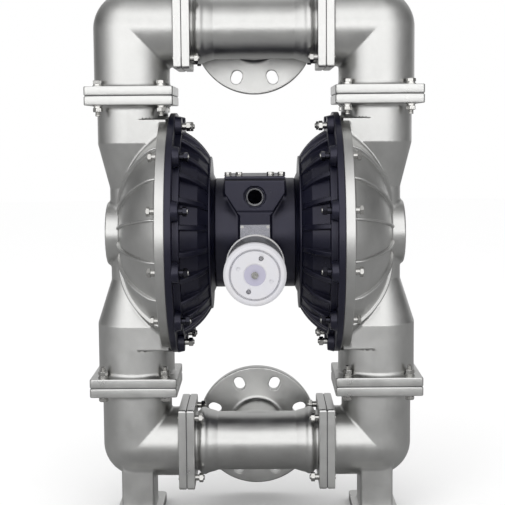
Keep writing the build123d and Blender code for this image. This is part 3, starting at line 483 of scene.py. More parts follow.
def slope(shape, points, step):
    """Distance at each point and the unit direction in which it grows."""
    reach = step * 0.12
    here = shape(*points.T)
    grow = np.stack([
        shape(*(points + reach * unit).T) - shape(*(points - reach * unit).T)
        for unit in np.eye(3)], axis=1)
    length = np.maximum(np.linalg.norm(grow, axis=1), 1e-9)
    rate = length / (2 * reach)
    return here / np.maximum(rate, 0.3), grow / length[:, None]


def mesh_of(name, points, faces, normals=None, mirrored=False, lift=SHAFT_HEIGHT):
    """Mesh in metres from millimetres, mirrored to the left side if asked."""
    points = np.array(points, float)
    faces = np.array(faces)
    if mirrored:
        points = points * (-1, 1, 1)
        faces = faces[:, ::-1]
    points = (points + (0, 0, lift)) * MM
    mesh = bpy.data.meshes.new(name)
    mesh.from_pydata(points.tolist(), [], faces.tolist())
    mesh.shade_smooth()
    if normals is not None:
        signs = (-1, 1, 1) if mirrored else (1, 1, 1)
        mesh.normals_split_custom_set_from_vertices((normals * signs).tolist())
    return mesh


def new_object(name, data):
    item = bpy.data.objects.new(name, data)
    bpy.context.scene.collection.objects.link(item)
    return item


def add_piece(name, mesh, slot_name, nodes=(), finish=None):
    """Object for a finished mesh that rides on the pump and stands for its CAD nodes."""
    piece = new_object(name, mesh)
    mesh.materials.clear()
    mesh.materials.append(MATERIALS[finish or slot_name])
    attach(piece, "pump")
    if nodes:
        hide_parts(*nodes)
    return piece


def detail_step(step):
    """Step in millimetres, scaled by a factor that is 1.0 here, which keeps the full detail."""
    return step / MM * 1.0


def cast_pair(name, shape, low, high, step):
    """Skins the right hand casting and mirrors it to the left."""
    points, faces, normals = skin(shape, low, high, detail_step(step))
    for side, sign in SIDES:
        node = f"{name}_{side}"
        mesh = mesh_of(node, points, faces, normals, sign < 0)
        add_piece("cast_" + node, mesh, "stainless_casting", [node])


# Turned meshes: a closed section swept round X or Y
def soft_corners(points, radius, arc_points=4):
    """Section with each corner rounded, as far as its sides allow."""
    result = []
    count = len(points)
    for i, point in enumerate(points):
        here = np.array(point, float)
        back = np.array(points[i - 1], float) - here
        ahead = np.array(points[(i + 1) % count], float) - here
        limit = min(np.linalg.norm(back), np.linalg.norm(ahead)) * 0.45
        back /= np.linalg.norm(back)
        ahead /= np.linalg.norm(ahead)
        turn = math.acos(max(-1, min(1, float(back @ ahead))))
        if turn > math.radians(165) or abs(here[1]) < 1e-6:
            result.append(tuple(here))
            continue
        reach = min(radius / math.tan(turn / 2), limit)
        for k in range(arc_points + 1):
            t = k / arc_points
            bend = (1 - t) ** 2 * back + t ** 2 * ahead
            result.append(tuple(here + reach * bend))
    return result


def lathe(section, segments, axis="X", center=(0, 0, 0)):
    """Points and quads of a closed section of (along, radius) turned round an axis."""
    bm = bmesh.new()
    rings = []
    for i in range(segments):
        angle = 2 * math.pi * i / segments
        ring = []
        for along, radius in section:
            a, b = radius * math.cos(angle), radius * math.sin(angle)
            place = (along, a, b) if axis == "X" else (a, along, b)
            ring.append(bm.verts.new(Vector(place) + Vector(center)))
        rings.append(ring)
    for i in range(segments):
        for j in range(len(section)):
            k = (j + 1) % len(section)
            a, b = rings[i], rings[(i + 1) % segments]
            bm.faces.new((a[j], a[k], b[k], b[j]))
    bmesh.ops.remove_doubles(bm, verts=bm.verts, dist=1e-5)
    loose = [f for f in bm.faces if f.calc_area() < 1e-9]
    bmesh.ops.delete(bm, geom=loose, context="FACES")
    bmesh.ops.recalc_face_normals(bm, faces=bm.faces)
    return bm


def finish_mesh(bm, name, mirrored=False, lift=SHAFT_HEIGHT, sharp=50.0):
    """Mesh in metres with even shading over its flats."""
    if mirrored:
        bmesh.ops.scale(bm, vec=(-1, 1, 1), verts=bm.verts)
        bmesh.ops.reverse_faces(bm, faces=bm.faces)
    bmesh.ops.translate(bm, vec=(0, 0, lift), verts=bm.verts)
    bmesh.ops.scale(bm, vec=(MM, MM, MM), verts=bm.verts)
    mesh = bpy.data.meshes.new(name)
    bm.to_mesh(mesh)
    bm.free()
    return even_shading(mesh, name, sharp)


def even_shading(mesh, name, sharp=50.0):
    mesh.shade_smooth()
    mesh.set_sharp_from_angle(angle=math.radians(sharp))
    holder = new_object(name + "_work", mesh)
    weighted = holder.modifiers.new("Weighted Normal", "WEIGHTED_NORMAL")
    weighted.keep_sharp = True
    done = baked_mesh(holder, name)
    bpy.data.objects.remove(holder)
    return done


def baked_mesh(holder, name):
    """Plain mesh of an object with its modifiers applied."""
    bpy.context.view_layer.update()
    graph = bpy.context.evaluated_depsgraph_get()
    result = bpy.data.meshes.new_from_object(holder.evaluated_get(graph))
    result.name = name
    return result


# Node trees
def new_tree(name, kind, inputs, outputs):
    """Node group with inputs of (label, socket, default) and outputs of (label, socket)."""
    tree = bpy.data.node_groups.new(name, kind)
    for label, socket_kind, default in inputs:
        socket = tree.interface.new_socket(label, in_out="INPUT",
                                           socket_type="NodeSocket" + socket_kind)
        if default is not None:
            socket.default_value = default
    for label, socket_kind in outputs:
        tree.interface.new_socket(label, in_out="OUTPUT", socket_type="NodeSocket" + socket_kind)
    return tree, tree.nodes.new("NodeGroupInput").outputs, tree.nodes.new("NodeGroupOutput").inputs


def add_node(tree, kind, values=None, **settings):
    """Node with its settings, whose sockets get values or what other sockets put out."""
    node = tree.nodes.new(kind)
    for label, setting in settings.items():
        setattr(node, label, setting)
    for label, value in (values or {}).items():
        if isinstance(value, bpy.types.NodeSocket):
            tree.links.new(value, node.inputs[label])
        else:
            node.inputs[label].default_value = value
    return node


def finish_tree(tree, geometry, material, leave):
    """Makes copies real, gives them their material and puts them out."""
    real = add_node(tree, "GeometryNodeRealizeInstances", {"Geometry": geometry})
    paint = add_node(tree, "GeometryNodeSetMaterial",
                     {"Geometry": real.outputs["Geometry"], "Material": material})
    tree.links.new(paint.outputs["Geometry"], leave["Geometry"])
    return tree


def set_out_tree():
    """Copies the mesh to each place, faces it outwards and turns it a little."""
    name = "Set Out Copies"
    if name in bpy.data.node_groups:
        return bpy.data.node_groups[name]
    tree, given, leave = new_tree(
        name, "GeometryNodeTree",
        [("Geometry", "Geometry", None), ("Places", "Object", None), ("Largest Turn", "Float", 0.0),
         ("Seed", "Int", 1), ("Material", "Material", None)], [("Geometry", "Geometry")])
    facing, along = [add_node(tree, "GeometryNodeInputNamedAttribute", {"Name": label},
                              data_type="FLOAT_VECTOR").outputs["Attribute"]
                     for label in ("facing", "along")]
    turned = add_node(tree, "FunctionNodeAxesToRotation",
                      {"Primary Axis": facing, "Secondary Axis": along},
                      primary_axis="Z", secondary_axis="X")
    amount = add_node(tree, "FunctionNodeRandomValue",
                      {3: given["Largest Turn"], "Seed": given["Seed"]}, data_type="FLOAT")
    twist = add_node(tree, "FunctionNodeAxisAngleToRotation", {"Angle": amount.outputs[1]})
    local = add_node(tree, "FunctionNodeRotateRotation",
                     {"Rotation": turned.outputs["Rotation"], "Rotate By": twist.outputs["Rotation"]},
                     rotation_space="LOCAL")
    spots = add_node(tree, "GeometryNodeObjectInfo", {"Object": given["Places"]})
    copies = add_node(tree, "GeometryNodeInstanceOnPoints",
                      {"Points": spots.outputs["Geometry"], "Instance": given["Geometry"],
                       "Rotation": local.outputs["Rotation"]})
    return finish_tree(tree, copies.outputs["Instances"], given["Material"], leave)


def run_tree(name, mesh, tree, values):
    """Runs a tree on a mesh, its inputs set by identifier, and returns the plain mesh."""
    holder = new_object(name + "_work", mesh)
    modifier = holder.modifiers.new("Nodes", "NODES")
    modifier.node_group = tree
    for item in tree.interface.items_tree:
        if item.item_type == "SOCKET" and item.in_out == "INPUT" and item.name in values:
            modifier[item.identifier] = values[item.name]
    result = baked_mesh(holder, name)
    holder.modifiers.clear()
    bpy.data.objects.remove(holder)
    return result


def add_copies(name, mesh, places, slot_name, nodes=(), turn=0.0, seed=1, finish=None):
    """Piece of copies at places, each (point in mm from the shaft axis, facing, along)."""
    spots = bpy.data.meshes.new(name + "_places")
    points = [(Vector(p) + Vector((0, 0, SHAFT_HEIGHT))) * MM for p, _, _ in places]
    spots.from_pydata(points, [], [])
    for label, index in (("facing", 1), ("along", 2)):
        layer = spots.attributes.new(label, "FLOAT_VECTOR", "POINT")
        for i, place in enumerate(places):
            layer.data[i].vector = place[index]
    guide = new_object(name + "_guide", spots)
    result = run_tree(name, mesh, set_out_tree(), {
        "Places": guide, "Largest Turn": turn, "Seed": seed,
        "Material": MATERIALS[finish or slot_name]})
    bpy.data.objects.remove(guide)
    return add_piece(name, result, slot_name, nodes, finish)


# Finishes
def math_node(tree, kind, *values, clamp=False):
    node = add_node(tree, "ShaderNodeMath", dict(enumerate(values)), operation=kind, use_clamp=clamp)
    return node.outputs[0]


def ranged(tree, value, low, high, to_low=0.0, to_high=1.0):
    node = add_node(tree, "ShaderNodeMapRange", {"Value": value, "From Min": low, "From Max": high,
                                                 "To Min": to_low, "To Max": to_high})
    return node.outputs["Result"]


def noise(tree, scale, detail=2.0, roughness=0.5, vector=None):
    if vector is None:
        vector = tree.nodes.new("ShaderNodeTexCoord").outputs["Object"]
    node = add_node(tree, "ShaderNodeTexNoise", {"Vector": vector, "Scale": scale, "Detail": detail,
                                                 "Roughness": roughness})
    return node.outputs["Fac"]


def cast_grain_group():
    """Fine grain over soft waves, as on a blasted or painted casting."""
    name = "Cast Grain"
    if name in bpy.data.node_groups:
        return bpy.data.node_groups[name]
    group, given, leave = new_tree(
        name, "ShaderNodeTree",
        [("Grain Scale", "Float", 900.0), ("Grain", "Float", 0.6), ("Wave Scale", "Float", 14.0),
         ("Waves", "Float", 1.0)], [("Height", "Float"), ("Patches", "Float")])
    grain = noise(group, given["Grain Scale"], 3.0, 0.65)
    fine = math_node(group, "MULTIPLY", grain, given["Grain"])
    broad = math_node(group, "MULTIPLY", noise(group, given["Wave Scale"]), given["Waves"])
    group.links.new(math_node(group, "ADD", fine, broad), leave["Height"])
    group.links.new(ranged(group, noise(group, 31.0, 4.0, 0.6), 0.3, 0.7), leave["Patches"])
    return group


def worn_edge_and_hollow_shade_group():
    """Mask of the edges that hands and handling polish, broken up by noise, and a mask of hollows for
    painted shade.
    """
    name = "Worn Edges"
    if name in bpy.data.node_groups:
        return bpy.data.node_groups[name]
    group, given, leave = new_tree(
        name, "ShaderNodeTree",
        [("Start", "Float", 0.52), ("End", "Float", 0.62), ("Breakup", "Float", 0.5)],
        [("Mask", "Float"), ("Hollow Shade", "Float")])
    point = group.nodes.new("ShaderNodeNewGeometry").outputs["Pointiness"]
    edge = ranged(group, point, given["Start"], given["End"])
    spots = ranged(group, noise(group, 160.0, 4.0, 0.7), 0.35, 0.65)
    rest = math_node(group, "SUBTRACT", 1.0, given["Breakup"])
    broken = math_node(group, "MULTIPLY_ADD", spots, given["Breakup"], rest)
    group.links.new(math_node(group, "MULTIPLY", edge, broken, clamp=True), leave["Mask"])
    # Painted shade mask: high in hollows, where the pointiness is low
    group.links.new(ranged(group, point, 0.49, 0.42), leave["Hollow Shade"])
    return group


def new_material(name, color, metallic, roughness):
    material = bpy.data.materials.new(name)
    material.use_nodes = True
    shader = material.node_tree.nodes["Principled BSDF"]
    shader.inputs["Base Color"].default_value = (*color, 1)
    shader.inputs["Metallic"].default_value = metallic
    shader.inputs["Roughness"].default_value = roughness
    return material, material.node_tree, shader


def place_group(tree, group, values):
    node = tree.nodes.new("ShaderNodeGroup")
    node.node_tree = group
    for label, value in values.items():
        node.inputs[label].default_value = value
    return node


def add_bump(tree, shader, height, depth):
    bump = add_node(tree, "ShaderNodeBump", {"Strength": 1.0, "Distance": depth, "Height": height})
    tree.links.new(bump.outputs["Normal"], shader.inputs["Normal"])


def mixed_color(tree, mask, first, second):
    first, second = [value if isinstance(value, bpy.types.NodeSocket) else (*value, 1)
                     for value in (first, second)]
    mix = add_node(tree, "ShaderNodeMix", {"Factor": mask, 6: first, 7: second}, data_type="RGBA")
    return mix.outputs[2]


def shade(color, factor):
    return tuple(min(1.0, c * factor) for c in color)


def grained(tree, shader, grain_scale, grain, waves, depth):
    """Grain in the bump of a finish, and the mask of its patches."""
    surface = place_group(tree, cast_grain_group(), {
        "Grain Scale": grain_scale, "Grain": grain, "Waves": waves})
    add_bump(tree, shader, surface.outputs["Height"], depth)
    return surface.outputs["Patches"]


def metal(name, color, roughness, spread=0.05, grain_scale=1500.0, grain=0.3, waves=0.2,
          depth=0.00004):
    """Metal with grain, uneven gloss, brighter worn edges and painted shade darkening its hollows."""
    material, tree, shader = new_material(name, color, 1.0, roughness)
    patches = grained(tree, shader, grain_scale, grain, waves, depth)
    wear_and_shade = place_group(tree, worn_edge_and_hollow_shade_group(), {"Breakup": 0.5})
    patched = mixed_color(tree, patches, shade(color, 0.93), shade(color, 1.05))
    # Painted shade: the colour darkens towards 0.55 of itself in hollows
    hollow_shaded = mixed_color(tree, math_node(tree, "MULTIPLY", wear_and_shade.outputs["Hollow Shade"], 0.6),
                        patched, shade(color, 0.55))
    bright = mixed_color(tree, math_node(tree, "MULTIPLY", wear_and_shade.outputs["Mask"], 0.35),
                         hollow_shaded, shade(color, 1.45))
    tree.links.new(bright, shader.inputs["Base Color"])
    gloss = ranged(tree, patches, 0.0, 1.0, roughness - spread, roughness + spread)
    worn = math_node(tree, "MULTIPLY", wear_and_shade.outputs["Mask"], -0.08)
    tree.links.new(math_node(tree, "ADD", gloss, worn, clamp=True), shader.inputs["Roughness"])
    return material


def black_coat(colors):
    """Blue black sprayed coat with fine orange peel and rubbed edges."""
    color = colors.black_coat
    material, tree, shader = new_material("black_coat", color, 0.0, 0.3)
    shader.inputs["Specular IOR Level"].default_value = 0.52
    shader.inputs["Specular Tint"].default_value = (0.84, 0.82, 1.0, 1)
    patches = grained(tree, shader, 420.0, 0.5, 0.6, 0.00022)
    wear_and_shade = place_group(tree, worn_edge_and_hollow_shade_group(), {"Start": 0.53, "End": 0.66, "Breakup": 0.75})
    patched = mixed_color(tree, patches, shade(color, 0.85), shade(color, 1.25))
    rubbed = mixed_color(tree, math_node(tree, "MULTIPLY", wear_and_shade.outputs["Mask"], 0.5),
                         patched, (0.05, 0.05, 0.06))
    tree.links.new(rubbed, shader.inputs["Base Color"])
    tree.links.new(ranged(tree, patches, 0.0, 1.0, 0.27, 0.38), shader.inputs["Roughness"])
    return material


def plastic(name, color, roughness, depth=0.00006):
    """Moulded plastic with a faint grain and slight yellowing."""
    material, tree, shader = new_material(name, color, 0.0, roughness)
    shader.inputs["Specular IOR Level"].default_value = 0.45
    patches = grained(tree, shader, 700.0, 0.5, 0.3, depth)
    warm = (color[0], color[1] * 0.985, color[2] * 0.95)
    tree.links.new(mixed_color(tree, patches, shade(color, 0.97), warm), shader.inputs["Base Color"])
    gloss = ranged(tree, patches, 0.0, 1.0, roughness - 0.05, roughness + 0.06)
    tree.links.new(gloss, shader.inputs["Roughness"])
    return material


def rubber(name, color):
    """Moulded rubber with a coarse grain and dust in patches."""
    material, tree, shader = new_material(name, color, 0.0, 0.7)
    patches = grained(tree, shader, 1200.0, 0.8, 0.2, 0.0001)
    tree.links.new(mixed_color(tree, patches, color, shade(color, 1.8)), shader.inputs["Base Color"])
    tree.links.new(ranged(tree, patches, 0.0, 1.0, 0.6, 0.8), shader.inputs["Roughness"])
    return material


def brushed_label(colors):
    """Bare plate metal, brushed along X and speckled."""
    color = colors.label
    material, tree, shader = new_material("label_metal", color, 1.0, 0.42)
    place = tree.nodes.new("ShaderNodeTexCoord").outputs["Object"]
    stretch = add_node(tree, "ShaderNodeMapping", {"Vector": place, "Scale": (40.0, 40.0, 1400.0)})
    lines = noise(tree, 1.0, 3.0, 0.6, stretch.outputs["Vector"])
    speckled = ranged(tree, noise(tree, 900.0, 4.0, 0.8), 0.42, 0.62)
    tree.links.new(mixed_color(tree, speckled, shade(color, 0.75), shade(color, 1.35)),
                   shader.inputs["Base Color"])
    tree.links.new(ranged(tree, lines, 0.3, 0.7, 0.32, 0.52), shader.inputs["Roughness"])
    add_bump(tree, shader, lines, 0.00004)
    return material


def make_materials(colors):
    """Every finish of the pump, by the name of its slot in the record."""
    fine = {"waves": 0.1, "depth": 0.00003}
    return {
        "stainless_casting": metal("blasted_stainless", tuple(colors.stainless), 0.33,
                                   grain_scale=850.0, grain=0.5, waves=0.9, depth=0.00016),
        "stainless_fastener": metal("bright_fastener", tuple(colors.fastener), 0.22, spread=0.06),
        "steel_seat": metal("machined_seat", (0.6, 0.6, 0.59), 0.25, **fine),
        "ground_steel": metal("ground_steel", (0.66, 0.66, 0.67), 0.16, spread=0.04,
                              grain_scale=2000.0, waves=0.1, depth=0.00002),
        "piston_steel": metal("turned_steel", (0.58, 0.58, 0.57), 0.3, grain_scale=1200.0, waves=0.1),
        "piston_aluminium": metal("turned_aluminium", (0.62, 0.63, 0.64), 0.35, grain_scale=1200.0),
        "bright_insert": metal("turned_insert", (0.34, 0.34, 0.35), 0.24, grain=0.2, **fine),
        "screen_steel": metal("screen_steel", (0.42, 0.42, 0.44), 0.4, spread=0.06),
        "bronze": metal("machined_bronze", (0.66, 0.42, 0.19), 0.3, spread=0.06, grain_scale=1200.0),
        "blackened_steel": metal("blackened_steel", (0.035, 0.035, 0.045), 0.3, spread=0.06),
        "plated_screw": metal("plated_screw", (0.82, 0.80, 0.62), 0.4, grain=0.2, **fine),
        "black_casting": black_coat(colors),
        "white_plastic": plastic("white_plastic", tuple(colors.white_plastic), 0.38),
        "medallion": plastic("medallion_plastic", tuple(colors.medallion), 0.42),
        "grey_plastic": plastic("grey_plastic", (0.66, 0.66, 0.68), 0.4),
        "white_ptfe": plastic("white_ptfe", (0.85, 0.85, 0.83), 0.5, depth=0.00005),
        "black_rubber": rubber("black_rubber", (0.018, 0.018, 0.018)),
        "grey_gasket": rubber("grey_gasket", (0.045, 0.045, 0.05)),
        "label_aluminium": brushed_label(colors),
    }


class PUMP_OT_finishes(bpy.types.Operator):
    """Make every finish and give the CAD pieces theirs"""

    bl_idname = "pump.finishes"
    bl_label = "Finishes"

    def execute(self, context):
        MATERIALS.update(make_materials(context.scene.pump_colours))
        for item in frame["record"]["subparts"]:
            node = frame["nodes"][item["node"]]
            node.data.materials.clear()
            node.data.materials.append(MATERIALS[item["material_slot"]])
        return {"FINISHED"}


# Liquid side castings
def pipe_half_width(z, pipe_radius):
    """Half width of a column and its web, from the waist to the full pipe."""
    return np.interp(np.abs(z), [TAPER_END, TAPER_START], [WAIST_RADIUS, pipe_radius])


def ball_guide_shape(x, y, up, pipe_radius):
    """Four ribs that guide a ball, with up counted from the top of its seat."""
    a = (x - y) * math.sqrt(0.5)
    b = (x + y) * math.sqrt(0.5)
    half = GUIDE_THICKNESS / 2
    ribs = np.minimum(np.abs(a) - half, np.abs(b) - half)
    ribs = np.maximum(ribs, span(up, 1.0, GUIDE_TOP))
    across = np.hypot(x, y)
    channel = np.hypot(across, np.maximum(up - BALL_TOP, 0)) - BALL_CHANNEL
    return np.maximum(np.maximum(ribs, across - pipe_radius + WALL / 2), -channel)


def joint_plate(x, y, z, low, high, width, edge):
    """Core of a plate, a little inside the crisp plate that is set over it."""
    plan = square(x, y, width - 2 * CORE_INSET, PLATE_CORNER)
    return rounded(plan, span(z, low + CORE_INSET, high - CORE_INSET), edge)


def outer_chamber_shape(sizes):
    """Dome, boss, pipes, webs and joint plates of the right hand chamber."""
    edge = sizes.edge_round / MM
    fillet = sizes.casting_fillet / MM
    crease = sizes.crease_fillet / MM
    cx, cr, radius = circle_through(DOME_ROOT, DOME_BULGE, DOME_END)
    rim_face = CLAMP_X + RIM_THICKNESS
    upper_end = UPPER_JOINT - HALF_GASKET
    lower_end = LOWER_JOINT - HALF_GASKET

    def shape(x, y, z):
        rho = np.hypot(y, z)
        from_column = x - COLUMN_X
        across = np.hypot(from_column, y)
        from_dome = np.hypot(x - cx, rho - cr) - radius
        dome = np.maximum(from_dome, rim_face - 6 - x)
        rim = rod(rho, x, RIM_RADIUS - CORE_INSET, CLAMP_X + CORE_INSET, rim_face - CORE_INSET, edge)
        body = join(rim, dome, RIM_FILLET)
        above = z > 0
        half = np.where(above, pipe_half_width(z, UPPER_PIPE_RADIUS),
                        pipe_half_width(z, LOWER_PIPE_RADIUS))
        end = np.where(above, upper_end, lower_end)
        drop = np.abs(z)
        column = np.maximum((across - half) * COLUMN_SLOPE, drop - end + CORE_RECESS)
        web = rounded(np.maximum((np.abs(y) - half) * COLUMN_SLOPE, from_column),
                      np.maximum(drop - WEB_END, WEB_START - drop), WEB_EDGE)
        web = np.maximum(web, CLAMP_X + 4 - x)
        pipes = np.minimum(column, web)
        body = join(body, pipes, crease)
        boss = rod(rho, x, BOSS_RADIUS, BOSS_BACK, BOSS_FACE, BOSS_EDGE)
        body = join(body, boss, BOSS_FILLET)
        plates = joint_plate(from_column, y, drop, end - JOINT_PLATE_THICKNESS, end,
                             JOINT_PLATE, edge)
        body = join(body, plates, fillet)
        room = np.maximum(from_dome + DOME_WALL, rim_face - x)
        mouth = rod(rho, x, MOUTH_RADIUS, CLAMP_X - OVERRUN, rim_face + 6, INNER_EDGE)
        bore = np.maximum(across - half + WALL, drop - end - OVERRUN)
        channel = np.maximum(np.maximum(np.abs(y) - half + WALL, from_column),
                             np.maximum(drop - WEB_END + WALL, rim_face + DOME_WALL - x))
        channel = np.maximum(channel, WEB_START - drop)
        room = np.minimum(np.minimum(room, mouth), np.minimum(bore, channel))
        seat = rod(across, z, SEAT_RADIUS, upper_end - SEAT_HEIGHT, upper_end + OVERRUN)
        body = cut(body, np.minimum(room, seat), INNER_EDGE)
        guides = ball_guide_shape(from_column, y, z + lower_end, LOWER_PIPE_RADIUS)
        return np.minimum(body, guides)

    return shape


class PUMP_OT_outer_chambers(bpy.types.Operator):
    """Cast both liquid side chambers"""

    bl_idname = "pump.outer_chambers"
    bl_label = "Outer Chambers"

    def execute(self, context):
        sizes = context.scene.pump_sizes
        half = JOINT_PLATE / 2 + MARGIN
        cast_pair("outer_chamber", outer_chamber_shape(sizes),
                  (COLUMN_X - half, -RIM_RADIUS - MARGIN, -LOWER_JOINT - MARGIN),
                  (COLUMN_X + half, RIM_RADIUS + MARGIN, UPPER_JOINT + MARGIN), sizes.casting_step)
        return {"FINISHED"}


def arc_points(first, second, third, count):
    """Points on the arc from the first to the third point of a section."""
    cx, cy, radius = circle_through(first, second, third)
    start = math.atan2(first[1] - cy, first[0] - cx)
    end = math.atan2(third[1] - cy, third[0] - cx)
    turn = (end - start + math.pi) % (2 * math.pi) - math.pi
    angles = [start + turn * i / (count - 1) for i in range(count)]
    return [(cx + radius * math.cos(a), cy + radius * math.sin(a)) for a in angles]


def rib_mesh(name, crest, foot, thickness, root, flat=0.0):
    """Rib in the XZ plane between two lines of (x, radius), its crest round or partly flat."""
    half = thickness / 2
    bend = half * (1 - flat)
    section = [(-half - root, 0.0), (-half - root * 0.35, 0.14), (-half, 0.4), (-half, 0.7),
               (-half + bend * 0.14, 0.84), (-half + bend * 0.5, 0.95), (-half + bend, 1.0)]
    section += [(-a, b) for a, b in reversed(section) if a]
    bm = bmesh.new()
    rings = []
    for (top_x, top_z), (low_x, low_z) in zip(crest, foot):
        ring = [bm.verts.new((low_x + (top_x - low_x) * share, side,
                              low_z + (top_z - low_z) * share)) for side, share in section]
        rings.append(ring)
    for a, b in zip(rings, rings[1:]):
        for i in range(len(section)):
            k = (i + 1) % len(section)
            bm.faces.new((a[i], a[k], b[k], b[i]))
    bm.faces.new(rings[0])
    bm.faces.new(list(reversed(rings[-1])))
    bmesh.ops.recalc_face_normals(bm, faces=bm.faces)
    return finish_mesh(bm, name, lift=0.0)


def ring_places(count, first, radius=0.0, x=0.0, sign=1):
    """Places round the X axis whose local X points along it."""
    places = []
    for i in range(count):
        angle = math.radians(first + 360 / count * i)
        outward = Vector((0, math.sin(angle), math.cos(angle)))
        places.append((Vector((x, 0, 0)) + outward * radius, outward, Vector((sign, 0, 0))))
    return places


def add_ribs(name, template, count, first, slot_name):
    """Rings of ribs on both sides of the pump."""
    for side, sign in SIDES:
        add_copies(f"{name}_{side}", template, ring_places(count, first, 0, 0, sign), slot_name)


class PUMP_OT_dome_ribs(bpy.types.Operator):
    """Set the thin ribs round both domes"""

    bl_idname = "pump.dome_ribs"
    bl_label = "Dome Ribs"

    def execute(self, context):
        sizes = context.scene.pump_sizes
        height = sizes.dome_rib_height / MM
        cx, cr, radius = circle_through(DOME_ROOT, DOME_BULGE, DOME_END)
        foot = arc_points(DOME_ROOT, DOME_BULGE, DOME_END, 26)
        crest = []
        for i, (x, r) in enumerate(foot):
            rise = height * min(1.0, 0.35 + 0.3 * min(i, len(foot) - 1 - i))
            crest.append((x + (x - cx) / radius * rise, r + (r - cr) / radius * rise))
        sunk = [(x - (x - cx) / radius * 1.5, r - (r - cr) / radius * 1.5) for x, r in foot]
        template = rib_mesh("dome_rib", crest, sunk, sizes.dome_rib_thickness / MM, 1.6)
        step = 360 / sizes.dome_ribs
        add_ribs("dome_ribs", template, sizes.dome_ribs, step / 2, "stainless_casting")
        return {"FINISHED"}


def plate_loop(bm, width, corner, height):
    """Points round a square with round corners, with a few along each side."""
    points = []
    flat = width / 2 - corner
    for quarter in range(4):
        turn = Matrix.Rotation(math.pi / 2 * quarter, 2)
        for i in range(7):
            angle = math.radians(15 * i)
            points.append(turn @ Vector((flat + corner * math.cos(angle),
                                         flat + corner * math.sin(angle))))
        for i in range(1, 6):
            points.append(turn @ Vector((flat - 2 * flat * i / 6, flat + corner)))
    return [bm.verts.new((p.x, p.y, height)) for p in points]


def plate_template(name, width, thickness, edge):
    """Plate on z = 0 with rounded edges round its bore."""
    bm = bmesh.new()
    loops = []
    for share in (0, 0.3, 1):
        inset = edge * (1 - share) ** 2
        loops.append(plate_loop(bm, width - 2 * inset, PLATE_CORNER, edge * share ** 2))
    for share in (1, 0.3, 0):
        inset = edge * (1 - share) ** 2
        loops.append(plate_loop(bm, width - 2 * inset, PLATE_CORNER, thickness - edge * share ** 2))
    for z in (thickness, 0.0):
        ring = []
        for point in loops[0]:
            across = point.co.xy.normalized() * PLATE_BORE
            ring.append(bm.verts.new((across.x, across.y, z)))
        loops.append(ring)
    for a, b in zip(loops, loops[1:] + loops[:1]):
        bridge(bm, a, b)
    bmesh.ops.recalc_face_normals(bm, faces=bm.faces)
    return finish_mesh(bm, name, lift=0.0)


class PUMP_OT_plates(bpy.types.Operator):
    """Set a crisp plate over each joint and a ring over each steel rim"""

    bl_idname = "pump.plates"
    bl_label = "Plates and Rims"

    def execute(self, context):
        edge = context.scene.pump_sizes.edge_round / MM
        slot_name = "stainless_casting"
        on_columns = joint_places(HALF_GASKET, True) + joint_places(HALF_GASKET, False)
        at_tubes = manifold_places(HALF_GASKET, True) + manifold_places(HALF_GASKET, False)
        for name, width, thickness, corners in (
                ("joint_plates", JOINT_PLATE, JOINT_PLATE_THICKNESS, on_columns),
                ("tube_plates", TUBE_PLATE, TUBE_PLATE_THICKNESS, at_tubes)):
            places = []
            for i in range(0, len(corners), 4):
                middle = sum((place[0] for place in corners[i:i + 4]), Vector()) / 4
                places.append((middle, *corners[i][1:]))
            template = plate_template(name, width, thickness, edge)
            add_copies("crisp_" + name, template, places, slot_name)
        rim_face = CLAMP_X + RIM_THICKNESS
        section = soft_corners([(CLAMP_X, MOUTH_RADIUS + 1), (CLAMP_X, RIM_RADIUS),
                                (rim_face, RIM_RADIUS), (rim_face, MOUTH_RADIUS + 1)], edge)
        for side, sign in SIDES:
            mesh = finish_mesh(lathe(section, 240), "rim_" + side, sign < 0)
            add_piece("crisp_rim_" + side, mesh, slot_name)
        return {"FINISHED"}


